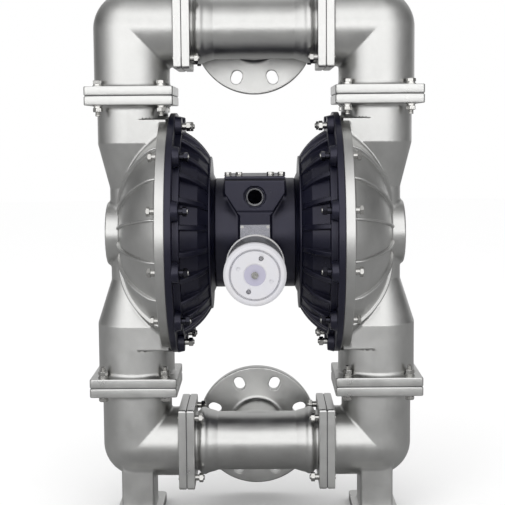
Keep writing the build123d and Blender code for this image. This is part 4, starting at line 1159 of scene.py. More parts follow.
# Elbows and manifolds
def elbow_shape(sizes, radius, joint, axis_height, sign):
    """Elbow whose joint height and axis height are counted along sign times Z."""
    edge = sizes.edge_round / MM
    fillet = sizes.casting_fillet / MM
    crease = sizes.crease_fillet / MM
    start = MANIFOLD_JOINT + HALF_GASKET
    low = joint + HALF_GASKET

    def shape(x, y, z):
        up = z * sign
        dx = x - COLUMN_X
        dz = up - axis_height
        across = np.hypot(dx, y)
        around = np.hypot(y, dz)
        ball = np.sqrt(dx * dx + y * y + dz * dz)

        def walls(r, over):
            upright = np.maximum(across - r, span(up, low - over, axis_height))
            level = np.maximum(around - r, span(x, start - over, COLUMN_X))
            turn = 1 - y * y / np.maximum(across * around, 1.0)
            corner = join(upright, level, crease * np.clip(1.4 * turn, 0.02, 1.0))
            return np.minimum(corner, ball - r)

        body = walls(radius, -CORE_RECESS)
        lower = joint_plate(dx, y, up, low, low + JOINT_PLATE_THICKNESS, JOINT_PLATE, edge)
        inner = joint_plate(y, dz, x, start, start + TUBE_PLATE_THICKNESS, TUBE_PLATE, edge)
        body = join(body, lower, fillet)
        body = join(body, inner, fillet * 0.6)
        bore = walls(radius - WALL, OVERRUN)
        if sign > 0:
            body = cut(body, bore, INNER_EDGE)
            guides = ball_guide_shape(dx, y, up - joint + HALF_GASKET, radius)
            return np.minimum(body, guides)
        ground = -SHAFT_HEIGHT
        leg = block(x, y, z, (FOOT_X - FOOT_WIDTH / 2, -FOOT_DEPTH / 2, ground + CORE_RECESS),
                    (FOOT_X + FOOT_WIDTH / 2, FOOT_DEPTH / 2, -axis_height), edge, FOOT_CORNER)
        base = block(x, y, z, (FOOT_X - BASE_WIDTH / 2, -BASE_DEPTH / 2, ground),
                     (FOOT_X + BASE_WIDTH / 2, BASE_DEPTH / 2, ground + BASE_THICKNESS), edge,
                     BASE_CORNER)
        foot = join(leg, base, FOOT_FILLET)
        hole = np.hypot(x - FOOT_X, np.abs(y) - BASE_HOLE_SPACING / 2) - BASE_HOLE
        foot = cut(foot, hole, RECESS_EDGE)
        body = join(body, foot, crease)
        seat = rod(across, up, SEAT_RADIUS, low - OVERRUN, low + SEAT_HEIGHT)
        return cut(body, np.minimum(bore, seat), INNER_EDGE)

    return shape


class PUMP_OT_elbows(bpy.types.Operator):
    """Cast the four elbows, the lower two with their feet"""

    bl_idname = "pump.elbows"
    bl_label = "Elbows"

    def execute(self, context):
        sizes = context.scene.pump_sizes
        half = JOINT_PLATE / 2 + MARGIN
        upper = elbow_shape(sizes, UPPER_ELBOW_RADIUS, UPPER_JOINT, DISCHARGE_AXIS, 1)
        top = DISCHARGE_AXIS + TUBE_PLATE / 2 + MARGIN
        cast_pair("discharge_elbow", upper, (MANIFOLD_JOINT - MARGIN, -half, UPPER_JOINT - MARGIN),
                  (COLUMN_X + half, half, top), sizes.casting_step)
        lower = elbow_shape(sizes, LOWER_ELBOW_RADIUS, LOWER_JOINT, INLET_AXIS, -1)
        depth = BASE_DEPTH / 2 + MARGIN
        cast_pair("inlet_elbow", lower, (MANIFOLD_JOINT - MARGIN, -depth, -SHAFT_HEIGHT - MARGIN),
                  (COLUMN_X + half, depth, -LOWER_JOINT + MARGIN), sizes.casting_step)
        return {"FINISHED"}


def tube_radius_at(x):
    """Outer radius of the manifold's tube, which flares towards its beads."""
    t = np.clip((np.abs(x) - TUBE_STRAIGHT) / (BEAD_START - TUBE_STRAIGHT), 0, 1)
    return TUBE_RADIUS + (BEAD_RADIUS - 1.5 - TUBE_RADIUS) * t * t * (3 - 2 * t)


def manifold_shape(sizes):
    """Waisted tube with a plate at each end and a slotted flange at the back."""
    edge = sizes.edge_round / MM
    fillet = sizes.casting_fillet / MM
    end = MANIFOLD_JOINT - HALF_GASKET
    back = FLANGE_FRONT + FLANGE_THICKNESS
    face = back + FACE_HEIGHT

    def shape(x, y, z):
        reach = np.abs(x)
        around = np.hypot(y, z)
        tube = np.maximum((around - tube_radius_at(x)) * TUBE_SLOPE, reach - BEAD_START - 3)
        bead = rod(around, reach, BEAD_RADIUS, BEAD_START, BEAD_END, BEAD_EDGE)
        collar = np.maximum(around - COLLAR_RADIUS, reach - end + CORE_RECESS)
        plate = joint_plate(y, z, reach, end - TUBE_PLATE_THICKNESS, end, TUBE_PLATE, edge)
        body = join(np.minimum(tube, collar), bead, BEAD_FILLET)
        body = join(body, plate, fillet * 0.7)
        radial = np.hypot(x, z)
        neck = np.maximum(radial - PORT_NECK, span(y, 0, back))
        body = join(body, neck, PORT_FILLET)
        flange = rod(radial, y, FLANGE_RADIUS, FLANGE_FRONT, back, edge)
        raised = rod(radial, y, FACE_RADIUS, back - 4, face, FACE_EDGE)
        body = join(body, flange, FLANGE_FILLET)
        body = np.minimum(body, raised)
        angle = np.arctan2(z, x)
        step = 2 * math.pi / SLOT_COUNT
        local = (angle / step - np.floor(angle / step) - 0.5) * step
        along = radial * np.cos(local) - SLOT_CIRCLE
        side = radial * np.sin(local)
        reach_slot = (SLOT_LENGTH - SLOT_WIDTH) / 2
        slot = np.hypot(np.maximum(np.abs(along) - reach_slot, 0), side) - SLOT_WIDTH / 2
        slot = np.maximum(slot, FLANGE_FRONT - 8 - y)
        body = cut(body, slot, INNER_EDGE)
        inner = np.where(reach > BEAD_START - 8, COLLAR_RADIUS - WALL, tube_radius_at(x) - WALL)
        bore = np.maximum(around - inner, reach - end - OVERRUN)
        port = np.maximum(radial - PORT_BORE, PORT_START - y)
        return cut(body, np.minimum(bore, port), 1.2)

    return shape


class PUMP_OT_manifolds(bpy.types.Operator):
    """Cast the discharge manifold and the inlet manifold"""

    bl_idname = "pump.manifolds"
    bl_label = "Manifolds"

    def execute(self, context):
        sizes = context.scene.pump_sizes
        reach = MANIFOLD_JOINT + FINE_MARGIN
        radius = FLANGE_RADIUS + MARGIN
        front = -TUBE_PLATE / 2 - MARGIN
        back = FLANGE_FRONT + FLANGE_THICKNESS + FACE_HEIGHT + MARGIN
        points, faces, normals = skin(manifold_shape(sizes), (-reach, front, -radius),
                                      (reach, back, radius), detail_step(sizes.flange_step))
        for node, height in (("discharge_manifold", DISCHARGE_AXIS), ("inlet_manifold", -INLET_AXIS)):
            mesh = mesh_of(node, points, faces, normals, lift=SHAFT_HEIGHT + height)
            add_piece("cast_" + node, mesh, "stainless_casting", [node])
        return {"FINISHED"}


# Air side chambers
def dish_points(sunk, per_run=5):
    """Floor of the pockets in two cones that meet at a crease, or a line sunk under it."""
    first = Vector((HUB_X + HUB_THICKNESS, POCKET_HUB_RADIUS - sunk))
    crease = Vector((POCKET_CREASE[0] + sunk * 0.2, POCKET_CREASE[1] - sunk))
    last = Vector((LUG_BACK, POCKET_END_RADIUS - sunk))
    points = [first.lerp(crease, i / per_run) for i in range(per_run)]
    points += [crease.lerp(last, i / per_run) for i in range(per_run + 1)]
    return [tuple(point) for point in points]


class PUMP_OT_air_chambers(bpy.types.Operator):
    """Turn both air side chambers and set their ribs and bolt lugs"""

    bl_idname = "pump.air_chambers"
    bl_label = "Air Chambers"

    def execute(self, context):
        sizes = context.scene.pump_sizes
        edge = sizes.edge_round / MM
        rim_back = CLAMP_X - AIR_RIM_THICKNESS
        outer = [(CENTER_HALF, SHAFT_BORE), (CENTER_HALF, NECK_RADIUS),
                 (HUB_X, HUB_CONE_RADIUS), (HUB_X, HUB_RADIUS), (HUB_X + HUB_THICKNESS, HUB_RADIUS)]
        outer += dish_points(0.0)
        outer += [(LUG_BACK, LUG_RING_RADIUS), (rim_back, LUG_RING_RADIUS),
                  (rim_back, AIR_RIM_RADIUS), (CLAMP_X, AIR_RIM_RADIUS), (CLAMP_X, MOUTH_RADIUS),
                  (LUG_BACK, MOUTH_RADIUS)]
        inner = [(x, r) for x, r in dish_points(AIR_WALL) if x > AIR_FLOOR and x < LUG_BACK]
        outer += list(reversed(inner))
        outer += [(AIR_FLOOR, inner[0][1]), (AIR_FLOOR, SHAFT_BORE)]
        section = soft_corners(outer, edge)
        slot_name = "black_casting"
        for side, sign in SIDES:
            node = "inner_chamber_" + side
            mesh = finish_mesh(lathe(section, 160), node, sign < 0)
            add_piece("dish_" + node, mesh, slot_name, [node])
        foot = dish_points(1.5)
        crest = arc_points((HUB_X + HUB_THICKNESS, HUB_RADIUS), DISH_BULGE,
                           (LUG_BACK, DISH_END_RADIUS), len(foot))
        template = rib_mesh("air_rib", crest, foot, sizes.air_rib_thickness / MM, 1.2, 0.6)
        step = 360 / sizes.air_ribs
        add_ribs("air_ribs", template, sizes.air_ribs, step / 2, slot_name)
        self.add_lugs(slot_name, rim_back)
        return {"FINISHED"}

    def add_lugs(self, slot_name, rim_back):
        """Round lug behind each clamp bolt, with a spot face for its nut."""
        root = rim_back - LUG_BACK + 1
        section = [(0, LUG_BORE), (0, LUG_RADIUS), (root, LUG_RADIUS + LUG_FLARE),
                   (root, LUG_BORE)]
        template = finish_mesh(lathe(soft_corners(section, 1.6), 32), "lug", lift=0.0)
        step = 360 / CLAMP_BOLTS
        for side, sign in SIDES:
            places = ring_places(CLAMP_BOLTS, step / 2, CLAMP_CIRCLE, sign * LUG_BACK, sign)
            add_copies("clamp_lugs_" + side, template, places, slot_name)


def diaphragm_section():
    """Section of the right hand diaphragm as (x, radius), with its bead last."""
    half = DIAPHRAGM_THICKNESS / 2
    crest = CLAMP_X - DIAPHRAGM_CONVOLUTION
    middle = (DIAPHRAGM_FLAT + DIAPHRAGM_MOUTH) / 2
    runs = []
    for side in (-half, half):
        run = [(CLAMP_X + side, DIAPHRAGM_BORE)]
        run += [(CLAMP_X + side, DIAPHRAGM_BORE + (DIAPHRAGM_FLAT - DIAPHRAGM_BORE) * i / 4)
                for i in range(1, 4)]
        run += arc_points((CLAMP_X + side, DIAPHRAGM_FLAT), (crest + side, middle),
                          (CLAMP_X + side, DIAPHRAGM_MOUTH), 16)
        runs.append(run)
    bead = [(-half, BEAD_LOW), (-BEAD_DEPTH, BEAD_LOW), (-BEAD_DEPTH, BEAD_HIGH),
            (BEAD_DEPTH, BEAD_HIGH), (BEAD_DEPTH, BEAD_LOW), (half, BEAD_LOW)]
    return runs[0] + [(CLAMP_X + x, r) for x, r in bead] + list(reversed(runs[1]))


class PUMP_OT_diaphragms(bpy.types.Operator):
    """Mould both diaphragms in sectors, each curved through its convolution between the shaft and the
    clamped bead
    """

    bl_idname = "pump.diaphragms"
    bl_label = "Diaphragms"

    def execute(self, context):
        section = diaphragm_section()
        step = 2 * math.pi / DIAPHRAGM_SECTORS
        for side, sign in SIDES:
            for sector in range(DIAPHRAGM_SECTORS):
                middle = step * sector
                bm = bmesh.new()
                rings = []
                for i in range(7):
                    angle = middle + step * (i / 6 - 0.5)
                    rings.append([bm.verts.new((x, r * math.cos(angle), r * math.sin(angle)))
                                  for x, r in section])
                for a, b in zip(rings, rings[1:]):
                    bridge(bm, a, b)
                bm.faces.new(rings[0])
                bm.faces.new(list(reversed(rings[-1])))
                bmesh.ops.recalc_face_normals(bm, faces=bm.faces)
                name = f"diaphragm_{side}_{sector:02d}"
                mesh = finish_mesh(bm, name, sign < 0)
                mesh.materials.clear()
                mesh.materials.append(MATERIALS["black_rubber"])
                piece = new_object("moulded_" + name, mesh)
                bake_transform(piece)
                if sector == 0:
                    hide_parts("diaphragm_" + side)
        return {"FINISHED"}


# Centre body
def center_shape(sizes):
    """Neck drum with the front block, its shoulders and the silencer boss."""
    edge = sizes.edge_round / MM

    def shape(x, y, z):
        neck = rod(np.hypot(y, z), x, NECK_RADIUS, -CENTER_HALF, CENTER_HALF, edge)
        half = np.interp(z, [BLOCK_WAIST, BLOCK_SHOULDER], [BLOCK_WAIST_HALF, BLOCK_HALF_WIDTH])
        sides = (np.abs(x) - half) * SHOULDER_SLOPE
        front = rounded(np.maximum(sides, span(z, -SILENCER_DROP, BLOCK_TOP)),
                        span(y, -BLOCK_FRONT, 0), edge)
        chest = block(x, y, z, (-BLOCK_HALF_WIDTH, -BLOCK_FRONT + CHEST_SETBACK, 0),
                      (BLOCK_HALF_WIDTH, BLOCK_REAR, BLOCK_TOP), edge, CHEST_CORNER)
        body = join(neck, np.minimum(front, chest), BLOCK_FILLET)
        boss_across = np.hypot(x, z + SILENCER_DROP)
        body = join(body, rod(boss_across, y, EXHAUST_BOSS, -BLOCK_FRONT, 0, edge), EXHAUST_FILLET)
        through = span(x, -CENTER_HALF - MARGIN, CENTER_HALF + MARGIN)
        valve = np.hypot(y - VALVE_Y, z - VALVE_RISE) - SLEEVE_RADIUS
        body = cut(body, np.maximum(valve, through), RECESS_EDGE)
        body = cut(body, np.hypot(y, z) - SHAFT_BORE, BORE_EDGE)
        inlet = np.hypot(x, z - INLET_RISE)
        outside = -BLOCK_FRONT - OVERRUN
        spot = rod(inlet, y, INLET_SPOT_RADIUS, outside, -BLOCK_FRONT + INLET_SPOT_DEPTH)
        body = cut(body, spot, RECESS_EDGE)
        groove = np.hypot(y + BLOCK_FRONT, z - GROOVE_RISE) - GROOVE_RADIUS
        body = cut(body, groove, BORE_EDGE)
        body = cut(body, rod(inlet, y, INLET_BUSH_RADIUS, outside, -BLOCK_FRONT + INLET_BUSH_LENGTH))
        point = (y + BLOCK_FRONT - INLET_DEPTH + DRILL_POINT * inlet) * DRILL_POINT_SLOPE
        drilled = np.maximum(inlet - INLET_DRILL, point)
        body = cut(body, np.maximum(drilled, -BLOCK_FRONT - y))
        return cut(body, rod(boss_across, y, EXHAUST_BORE, outside, -BLOCK_FRONT + EXHAUST_DEPTH))

    return shape


class PUMP_OT_center_body(bpy.types.Operator):
    """Cast the centre body"""

    bl_idname = "pump.center_body"
    bl_label = "Centre Body"

    def execute(self, context):
        sizes = context.scene.pump_sizes
        points, faces, normals = skin(
            center_shape(sizes),
            (-CENTER_HALF - FINE_MARGIN, -BLOCK_FRONT - FINE_MARGIN, -NECK_RADIUS - FINE_MARGIN),
            (CENTER_HALF + FINE_MARGIN, NECK_RADIUS + FINE_MARGIN, BLOCK_TOP + FINE_MARGIN),
            detail_step(sizes.fine_step))
        mesh = mesh_of("center_body", points, faces, normals)
        add_piece("cast_center_body", mesh, "black_casting", ["center_body"])
        return {"FINISHED"}


def carved(mesh, cutters, name):
    """Mesh with cutters taken out of it."""
    holder = new_object(name + "_work", mesh)
    tools = []
    for cutter in cutters:
        tool = new_object(name + "_cutter", cutter)
        tools.append(tool)
        hole = holder.modifiers.new("Hole", "BOOLEAN")
        hole.operation = "DIFFERENCE"
        hole.solver = "EXACT"
        hole.object = tool
    result = baked_mesh(holder, name)
    for item in [holder, *tools]:
        bpy.data.objects.remove(item)
    return even_shading(result, name, 40.0)


def drill(radius, low, high, axis, place):
    """Closed cylinder along an axis from low to high, round a place given in millimetres."""
    section = [(low, 0.0), (low, radius), (high, radius), (high, 0.0)]
    bm = lathe(section, 32, axis="X")
    if axis == "Y":
        bmesh.ops.rotate(bm, matrix=Matrix.Rotation(math.pi / 2, 3, "Z"), verts=bm.verts)
    if axis == "Z":
        bmesh.ops.rotate(bm, matrix=Matrix.Rotation(-math.pi / 2, 3, "Y"), verts=bm.verts)
    bmesh.ops.translate(bm, vec=place, verts=bm.verts)
    return finish_mesh(bm, "drill")


class PUMP_OT_valve_cover(bpy.types.Operator):
    """Make the valve cover and the threaded bush of the air inlet"""

    bl_idname = "pump.valve_cover"
    bl_label = "Valve Cover and Inlet"

    def execute(self, context):
        edge = context.scene.pump_sizes.edge_round / MM
        low, high = (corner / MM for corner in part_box("valve_cover"))
        bm = bmesh.new()
        bmesh.ops.create_cube(bm, size=1.0)
        bmesh.ops.scale(bm, vec=high - low, verts=bm.verts)
        bmesh.ops.translate(bm, vec=(low + high) / 2 - Vector((0, 0, SHAFT_HEIGHT)), verts=bm.verts)
        bmesh.ops.bevel(bm, geom=bm.edges[:], offset=edge * 0.8, segments=3, affect="EDGES")
        cover = finish_mesh(bm, "valve_cover")
        top = high.z - SHAFT_HEIGHT
        y = high.y - COVER_ROW_INSET
        holes = [drill(COUNTERSINK_RADIUS, -COUNTERSINK_DEPTH, 2.0, "Z", (x, y, top))
                 for x in COVER_BOLTS_X]
        add_piece("milled_valve_cover", carved(cover, holes, "valve_cover"), "black_casting",
                  ["valve_cover"])
        self.add_bush()
        return {"FINISHED"}

    def add_bush(self):
        """Bush with a threaded bore whose crests catch the light."""
        face = -INLET_BUSH_STAND
        crest = INLET_THREAD_RADIUS - INLET_THREAD_DEPTH
        section = [(INLET_BUSH_LENGTH, INLET_THREAD_RADIUS)]
        along = INLET_BUSH_LENGTH - 1.0
        while along > INLET_THREAD_PITCH:
            section += [(along, crest), (along - INLET_THREAD_PITCH / 2, INLET_THREAD_RADIUS)]
            along -= INLET_THREAD_PITCH
        section += [(face + 2.0, crest), (face, INLET_BUSH_RADIUS - 0.4),
                    (face + 0.4, INLET_BUSH_RADIUS), (INLET_BUSH_LENGTH, INLET_BUSH_RADIUS)]
        bm = lathe(section, 96, axis="Y", center=(0, -BLOCK_FRONT, INLET_RISE))
        add_piece("turned_air_inlet_bush", finish_mesh(bm, "air_inlet_bush", sharp=25.0),
                  "bright_insert", ["air_inlet_bush"])


# Silencer
def screen_tree():
    """Staggered holes through a round sleeve, cut from the dual of a triangle mesh."""
    numbers = [(label, "Float", None) for label in ("Radius", "Length", "Thickness", "Hole Share")]
    counts = [(label, "Int", None) for label in ("Columns", "Rows")]
    tree, given, leave = new_tree(
        "Perforated Sleeve", "GeometryNodeTree",
        [("Geometry", "Geometry", None), *numbers, *counts, ("Material", "Material", None)],
        [("Geometry", "Geometry")])
    grid = add_node(tree, "GeometryNodeMeshGrid", {
        "Size X": 1.0, "Size Y": 1.0,
        "Vertices X": math_node(tree, "ADD", given["Columns"], 1),
        "Vertices Y": math_node(tree, "ADD", given["Rows"], 1)})
    spot = tree.nodes.new("GeometryNodeInputPosition").outputs["Position"]
    parts = add_node(tree, "ShaderNodeSeparateXYZ", {"Vector": spot}).outputs
    up = math_node(tree, "ADD", parts["Y"], 0.5)
    row = math_node(tree, "ROUND", math_node(tree, "MULTIPLY", up, given["Rows"]))
    half_step = math_node(tree, "MULTIPLY", math_node(tree, "MODULO", row, 2), 0.5)
    stagger = math_node(tree, "DIVIDE", half_step, given["Columns"])
    turn = math_node(tree, "MULTIPLY", math_node(tree, "ADD", parts["X"], stagger), 2 * math.pi)
    across, above = [math_node(tree, "MULTIPLY", math_node(tree, kind, turn), given["Radius"])
                     for kind in ("COSINE", "SINE")]
    place = add_node(tree, "ShaderNodeCombineXYZ", {
        "X": across, "Y": math_node(tree, "MULTIPLY", up, given["Length"]), "Z": above})
    wrapped = add_node(tree, "GeometryNodeSetPosition", {
        "Geometry": grid.outputs["Mesh"], "Position": place.outputs["Vector"]})
    sealed = add_node(tree, "GeometryNodeMergeByDistance", {
        "Geometry": wrapped.outputs["Geometry"], "Distance": WELD_DISTANCE})
    split = add_node(tree, "GeometryNodeTriangulate", {"Mesh": sealed.outputs["Geometry"]})
    dual = add_node(tree, "GeometryNodeDualMesh", {"Mesh": split.outputs["Mesh"]})
    inset = add_node(tree, "GeometryNodeExtrudeMesh", {
        "Mesh": dual.outputs["Dual Mesh"], "Offset Scale": 0.0, "Individual": True})
    shrink = add_node(tree, "GeometryNodeScaleElements", {
        "Geometry": inset.outputs["Mesh"], "Selection": inset.outputs["Top"],
        "Scale": given["Hole Share"]})
    opened = add_node(tree, "GeometryNodeDeleteGeometry", {
        "Geometry": shrink.outputs["Geometry"], "Selection": inset.outputs["Top"]}, domain="FACE")
    thick = add_node(tree, "GeometryNodeExtrudeMesh", {
        "Mesh": opened.outputs["Geometry"], "Individual": False,
        "Offset Scale": math_node(tree, "MULTIPLY", given["Thickness"], -1)})
    flipped = add_node(tree, "GeometryNodeFlipFaces", {"Mesh": opened.outputs["Geometry"]})
    both = add_node(tree, "GeometryNodeJoinGeometry", {"Geometry": thick.outputs["Mesh"]})
    tree.links.new(flipped.outputs["Mesh"], both.inputs["Geometry"])
    closed = add_node(tree, "GeometryNodeMergeByDistance", {
        "Geometry": both.outputs["Geometry"], "Distance": WELD_DISTANCE})
    return finish_tree(tree, closed.outputs["Geometry"], given["Material"], leave)


class PUMP_OT_silencer(bpy.types.Operator):
    """Turn the silencer's base and cap and punch its screen"""

    bl_idname = "pump.silencer"
    bl_label = "Silencer"

    def execute(self, context):
        front = -SILENCER_LENGTH
        back = front + CAP_DEPTH
        insert = SCREEN_RADIUS - 1.4
        groove = front + CAP_GROOVE
        disc_face = front + DISC_INSET
        seat = front + MEDALLION_INSET
        cap = [(back - CAP_PLUG, 0.0), (back - CAP_PLUG, insert), (back, insert),
               (back, SILENCER_RADIUS), (front + 6, SILENCER_RADIUS), (front + 1, SILENCER_RADIUS - 3),
               (front, DISC_RADIUS + 4.5), (front, DISC_RADIUS + 2), (groove, DISC_RADIUS + 1),
               (groove, DISC_RADIUS), (disc_face, DISC_RADIUS - 1),
               (disc_face, MEDALLION_RADIUS + 1), (seat, MEDALLION_RADIUS), (seat, 0.0)]
        mesh = self.turned("silencer_cap", cap, 0.9)
        holes = []
        for i in range(4):
            angle = math.radians(CAP_HOLE_START + 90 * i)
            depth = (8.0, 1.6)[i % 2]
            radius = (CAP_HOLE_RADIUS, CAP_HOLE_RADIUS * 0.85)[i % 2]
            place = (CAP_HOLE_CIRCLE * math.cos(angle), -BLOCK_FRONT + front,
                     -SILENCER_DROP + CAP_HOLE_CIRCLE * math.sin(angle))
            holes.append(drill(radius, -3.0, depth, "Y", place))
        add_piece("moulded_silencer_cap", carved(mesh, holes, "silencer_cap"), "white_plastic",
                  ["silencer_cap"])
        root, disc_front, disc_edge = front + 2.4, front + 1.35, MEDALLION_RADIUS - 0.3
        disc = [(root, 0.0), (root, disc_edge), (disc_front, disc_edge), (disc_front, 0.0)]
        add_piece("cap_medallion", self.turned("cap_medallion", disc, 0.4), "white_plastic",
                  finish="medallion")
        head_front = front + 0.15
        head = [(root, 0.0), (root, 5.0), (front + 1.0, 5.0), (front + 0.35, 4.2),
                (head_front, 2.2), (head_front, 0.0)]
        add_piece("tie_rod_head", self.turned("tie_rod_head", head, 0.5), "stainless_fastener",
                  finish="plated_screw")
        base = [(SPIGOT_LENGTH, 0.0), (SPIGOT_LENGTH, SPIGOT_RADIUS), (0, SPIGOT_RADIUS),
                (0, BASE_COLLAR_RADIUS), (-BASE_COLLAR_LENGTH, BASE_COLLAR_RADIUS),
                (-BASE_COLLAR_LENGTH, SILENCER_RADIUS), (-BASE_RIM_END, SILENCER_RADIUS),
                (-BASE_RIM_END, SCREEN_RADIUS), (-SCREEN_START, SCREEN_RADIUS), (-SCREEN_START, 0.0)]
        add_piece("moulded_silencer_base", self.turned("silencer_base", base, 0.9), "grey_plastic",
                  ["silencer_base"])
        self.add_screen(context.scene.pump_sizes, -SCREEN_START, back)
        return {"FINISHED"}

    def turned(self, name, section, corner):
        """Solid of revolution about the silencer's axis with rounded corners."""
        bm = lathe(soft_corners(section, corner), 96, axis="Y",
                   center=(0, -BLOCK_FRONT, -SILENCER_DROP))
        return finish_mesh(bm, name)

    def add_screen(self, sizes, start, end):
        slot_name = "screen_steel"
        reach = start - end
        pitch = sizes.screen_pitch / MM
        columns = round(2 * math.pi * SCREEN_RADIUS / pitch)
        rows = 2 * round(reach / pitch / 0.866 / 2)
        seed = bpy.data.meshes.new("screen_seed")
        mesh = run_tree("silencer_screen", seed, screen_tree(), {
            "Radius": SCREEN_RADIUS * MM, "Length": reach * MM, "Thickness": SCREEN_THICKNESS * MM,
            "Hole Share": sizes.screen_hole, "Columns": columns, "Rows": rows,
            "Material": MATERIALS[slot_name]})
        place = Vector((0, -BLOCK_FRONT + end, SHAFT_HEIGHT - SILENCER_DROP)) * MM
        mesh.transform(Matrix.Translation(place))
        add_piece("punched_silencer_screen", mesh, slot_name, ["silencer_screen"])
        inner, outer = SCREEN_RADIUS - 1.0, SCREEN_RADIUS + 0.2
        for name, low in (("front_band", end), ("rear_band", start - SCREEN_BAND)):
            high = low + SCREEN_BAND
            band = [(low, inner), (low, outer), (high, outer), (high, inner)]
            add_piece("screen_" + name, self.turned(name, band, 0.3), slot_name)


# Hardware
def hexagon_ring(bm, flats, height, chamfer):
    """Points of a hexagon whose corners are cut back at a height by a cone."""
    across = flats / math.sqrt(3)
    points = []
    for i in range(24):
        angle = math.radians(15 * i)
        near = math.radians((15 * i) % 60 - 30)
        reach = flats / 2 / math.cos(near)
        reach = min(reach, flats / 2 + (across - flats / 2) * (1 - chamfer))
        points.append(bm.verts.new((reach * math.cos(angle), reach * math.sin(angle), height)))
    return points


def bridge(bm, a, b):
    count = len(a)
    for i in range(count):
        bm.faces.new((a[i], a[(i + 1) % count], b[(i + 1) % count], b[i]))


def add_hexagon(bm, flats, low, height):
    """Hexagon with both ends chamfered like a turned nut."""
    rings = [hexagon_ring(bm, flats, low, 0.85), hexagon_ring(bm, flats, low + 0.55, 0.0),
             hexagon_ring(bm, flats, low + height - 0.9, 0.0),
             hexagon_ring(bm, flats, low + height - 0.15, 0.95)]
    inset = [bm.verts.new((v.co.x * 0.93, v.co.y * 0.93, low + height)) for v in rings[-1]]
    for a, b in zip(rings, rings[1:] + [inset]):
        bridge(bm, a, b)
    bm.faces.new(inset)
    bm.faces.new(list(reversed(rings[0])))


def add_turned(bm, section, segments=24):
    """Closed solid of revolution about Z from (radius, z) points."""
    rings = []
    for radius, z in section:
        rings.append([bm.verts.new((radius * math.cos(2 * math.pi * i / segments),
                                    radius * math.sin(2 * math.pi * i / segments), z))
                      for i in range(segments)])
    for a, b in zip(rings, rings[1:]):
        bridge(bm, a, b)
    bm.faces.new(list(reversed(rings[0])))
    bm.faces.new(rings[-1])


def washer_section(radius, low, height):
    edge = min(0.3, height * 0.3)
    return [(radius - edge, low), (radius, low + edge), (radius, low + height - edge),
            (radius - edge, low + height)]


def add_split_washer(bm, low):
    """Spring washer with its slit turned up like a real one."""
    inner, outer = BOLT_RADIUS + 0.2, SPRING_RADIUS
    count = 30
    rings = []
    for i in range(count):
        angle = math.radians(8 + 344 * i / (count - 1))
        rise = 0.35 * (i / (count - 1) - 0.5)
        c, s = math.cos(angle), math.sin(angle)
        rings.append([bm.verts.new((r * c, r * s, low + h + rise * 0.8))
                      for r, h in ((inner, 0.2), (outer, 0.2), (outer, SPRING_HEIGHT - 0.2),
                                   (inner, SPRING_HEIGHT - 0.2))])
    for a, b in zip(rings, rings[1:]):
        bridge(bm, a, b)
    bm.faces.new(list(reversed(rings[0])))
    bm.faces.new(rings[-1])


def thread_section(radius, low, high, pitch):
    """Thread crests up a stud that ends in a chamfer."""
    section = [(radius, low)]
    z = low
    while z + pitch < high - 0.8:
        section += [(radius, z + pitch * 0.1), (radius - 0.5, z + pitch * 0.5),
                    (radius, z + pitch * 0.9)]
        z += pitch
    return section + [(radius, high - 0.8), (radius - 0.9, high)]


def add_seat_stack(bm, on_collar):
    """Spacer collar or two washers on z = 0, and the height that they reach."""
    if on_collar:
        add_turned(bm, washer_section(BOLT_COLLAR_RADIUS, 0, BOLT_COLLAR_HEIGHT))
        return BOLT_COLLAR_HEIGHT
    add_turned(bm, washer_section(WASHER_RADIUS, 0, WASHER_HEIGHT))
    add_split_washer(bm, WASHER_HEIGHT)
    return WASHER_HEIGHT + SPRING_HEIGHT


def finish_hardware(bm, name):
    bmesh.ops.recalc_face_normals(bm, faces=bm.faces)
    return finish_mesh(bm, name, lift=0.0, sharp=35.0)


def bolt_template(sizes, shank, on_collar):
    """Whole bolt along Z with a threaded end below its seat."""
    bm = bmesh.new()
    height = add_seat_stack(bm, on_collar)
    add_turned(bm, [(BOLT_RADIUS, 0.5), (BOLT_RADIUS, height + 0.5)])
    add_hexagon(bm, BOLT_FLATS, height, BOLT_HEAD)
    pitch = sizes.thread_pitch / MM
    reach = STUD_REACH + NUT_HEIGHT
    section = [(r, -z) for r, z in reversed(thread_section(BOLT_RADIUS, shank - reach, shank, pitch))]
    section.append((BOLT_RADIUS, 0.5))
    add_turned(bm, section)
    return finish_hardware(bm, "bolt")


def stud_template(sizes, length):
    """Stud along Z whose threaded end stands at z = 0."""
    bm = bmesh.new()
    pitch = sizes.thread_pitch / MM
    reach = STUD_REACH + NUT_HEIGHT
    add_turned(bm, [(BOLT_RADIUS, -length)] + thread_section(BOLT_RADIUS, -reach, 0, pitch))
    return finish_hardware(bm, "stud")


def nut_template(on_collar):
    """Nut with what it stands on, seated on z = 0."""
    bm = bmesh.new()
    height = add_seat_stack(bm, on_collar)
    add_hexagon(bm, BOLT_FLATS, height, NUT_HEIGHT)
    return finish_hardware(bm, "nut")


def small_bolt_template():
    """Cover bolt with a flanged head, seated on z = 0."""
    bm = bmesh.new()
    add_turned(bm, washer_section(COVER_FLANGE_RADIUS, 0, COVER_FLANGE_HEIGHT))
    add_hexagon(bm, COVER_HEAD_FLATS, COVER_FLANGE_HEIGHT, COVER_HEAD_HEIGHT)
    add_turned(bm, [(COVER_SHANK_RADIUS, -COVER_SHANK_LENGTH),
                    (COVER_SHANK_RADIUS, COVER_FLANGE_HEIGHT / 2)])
    return finish_hardware(bm, "small_bolt")


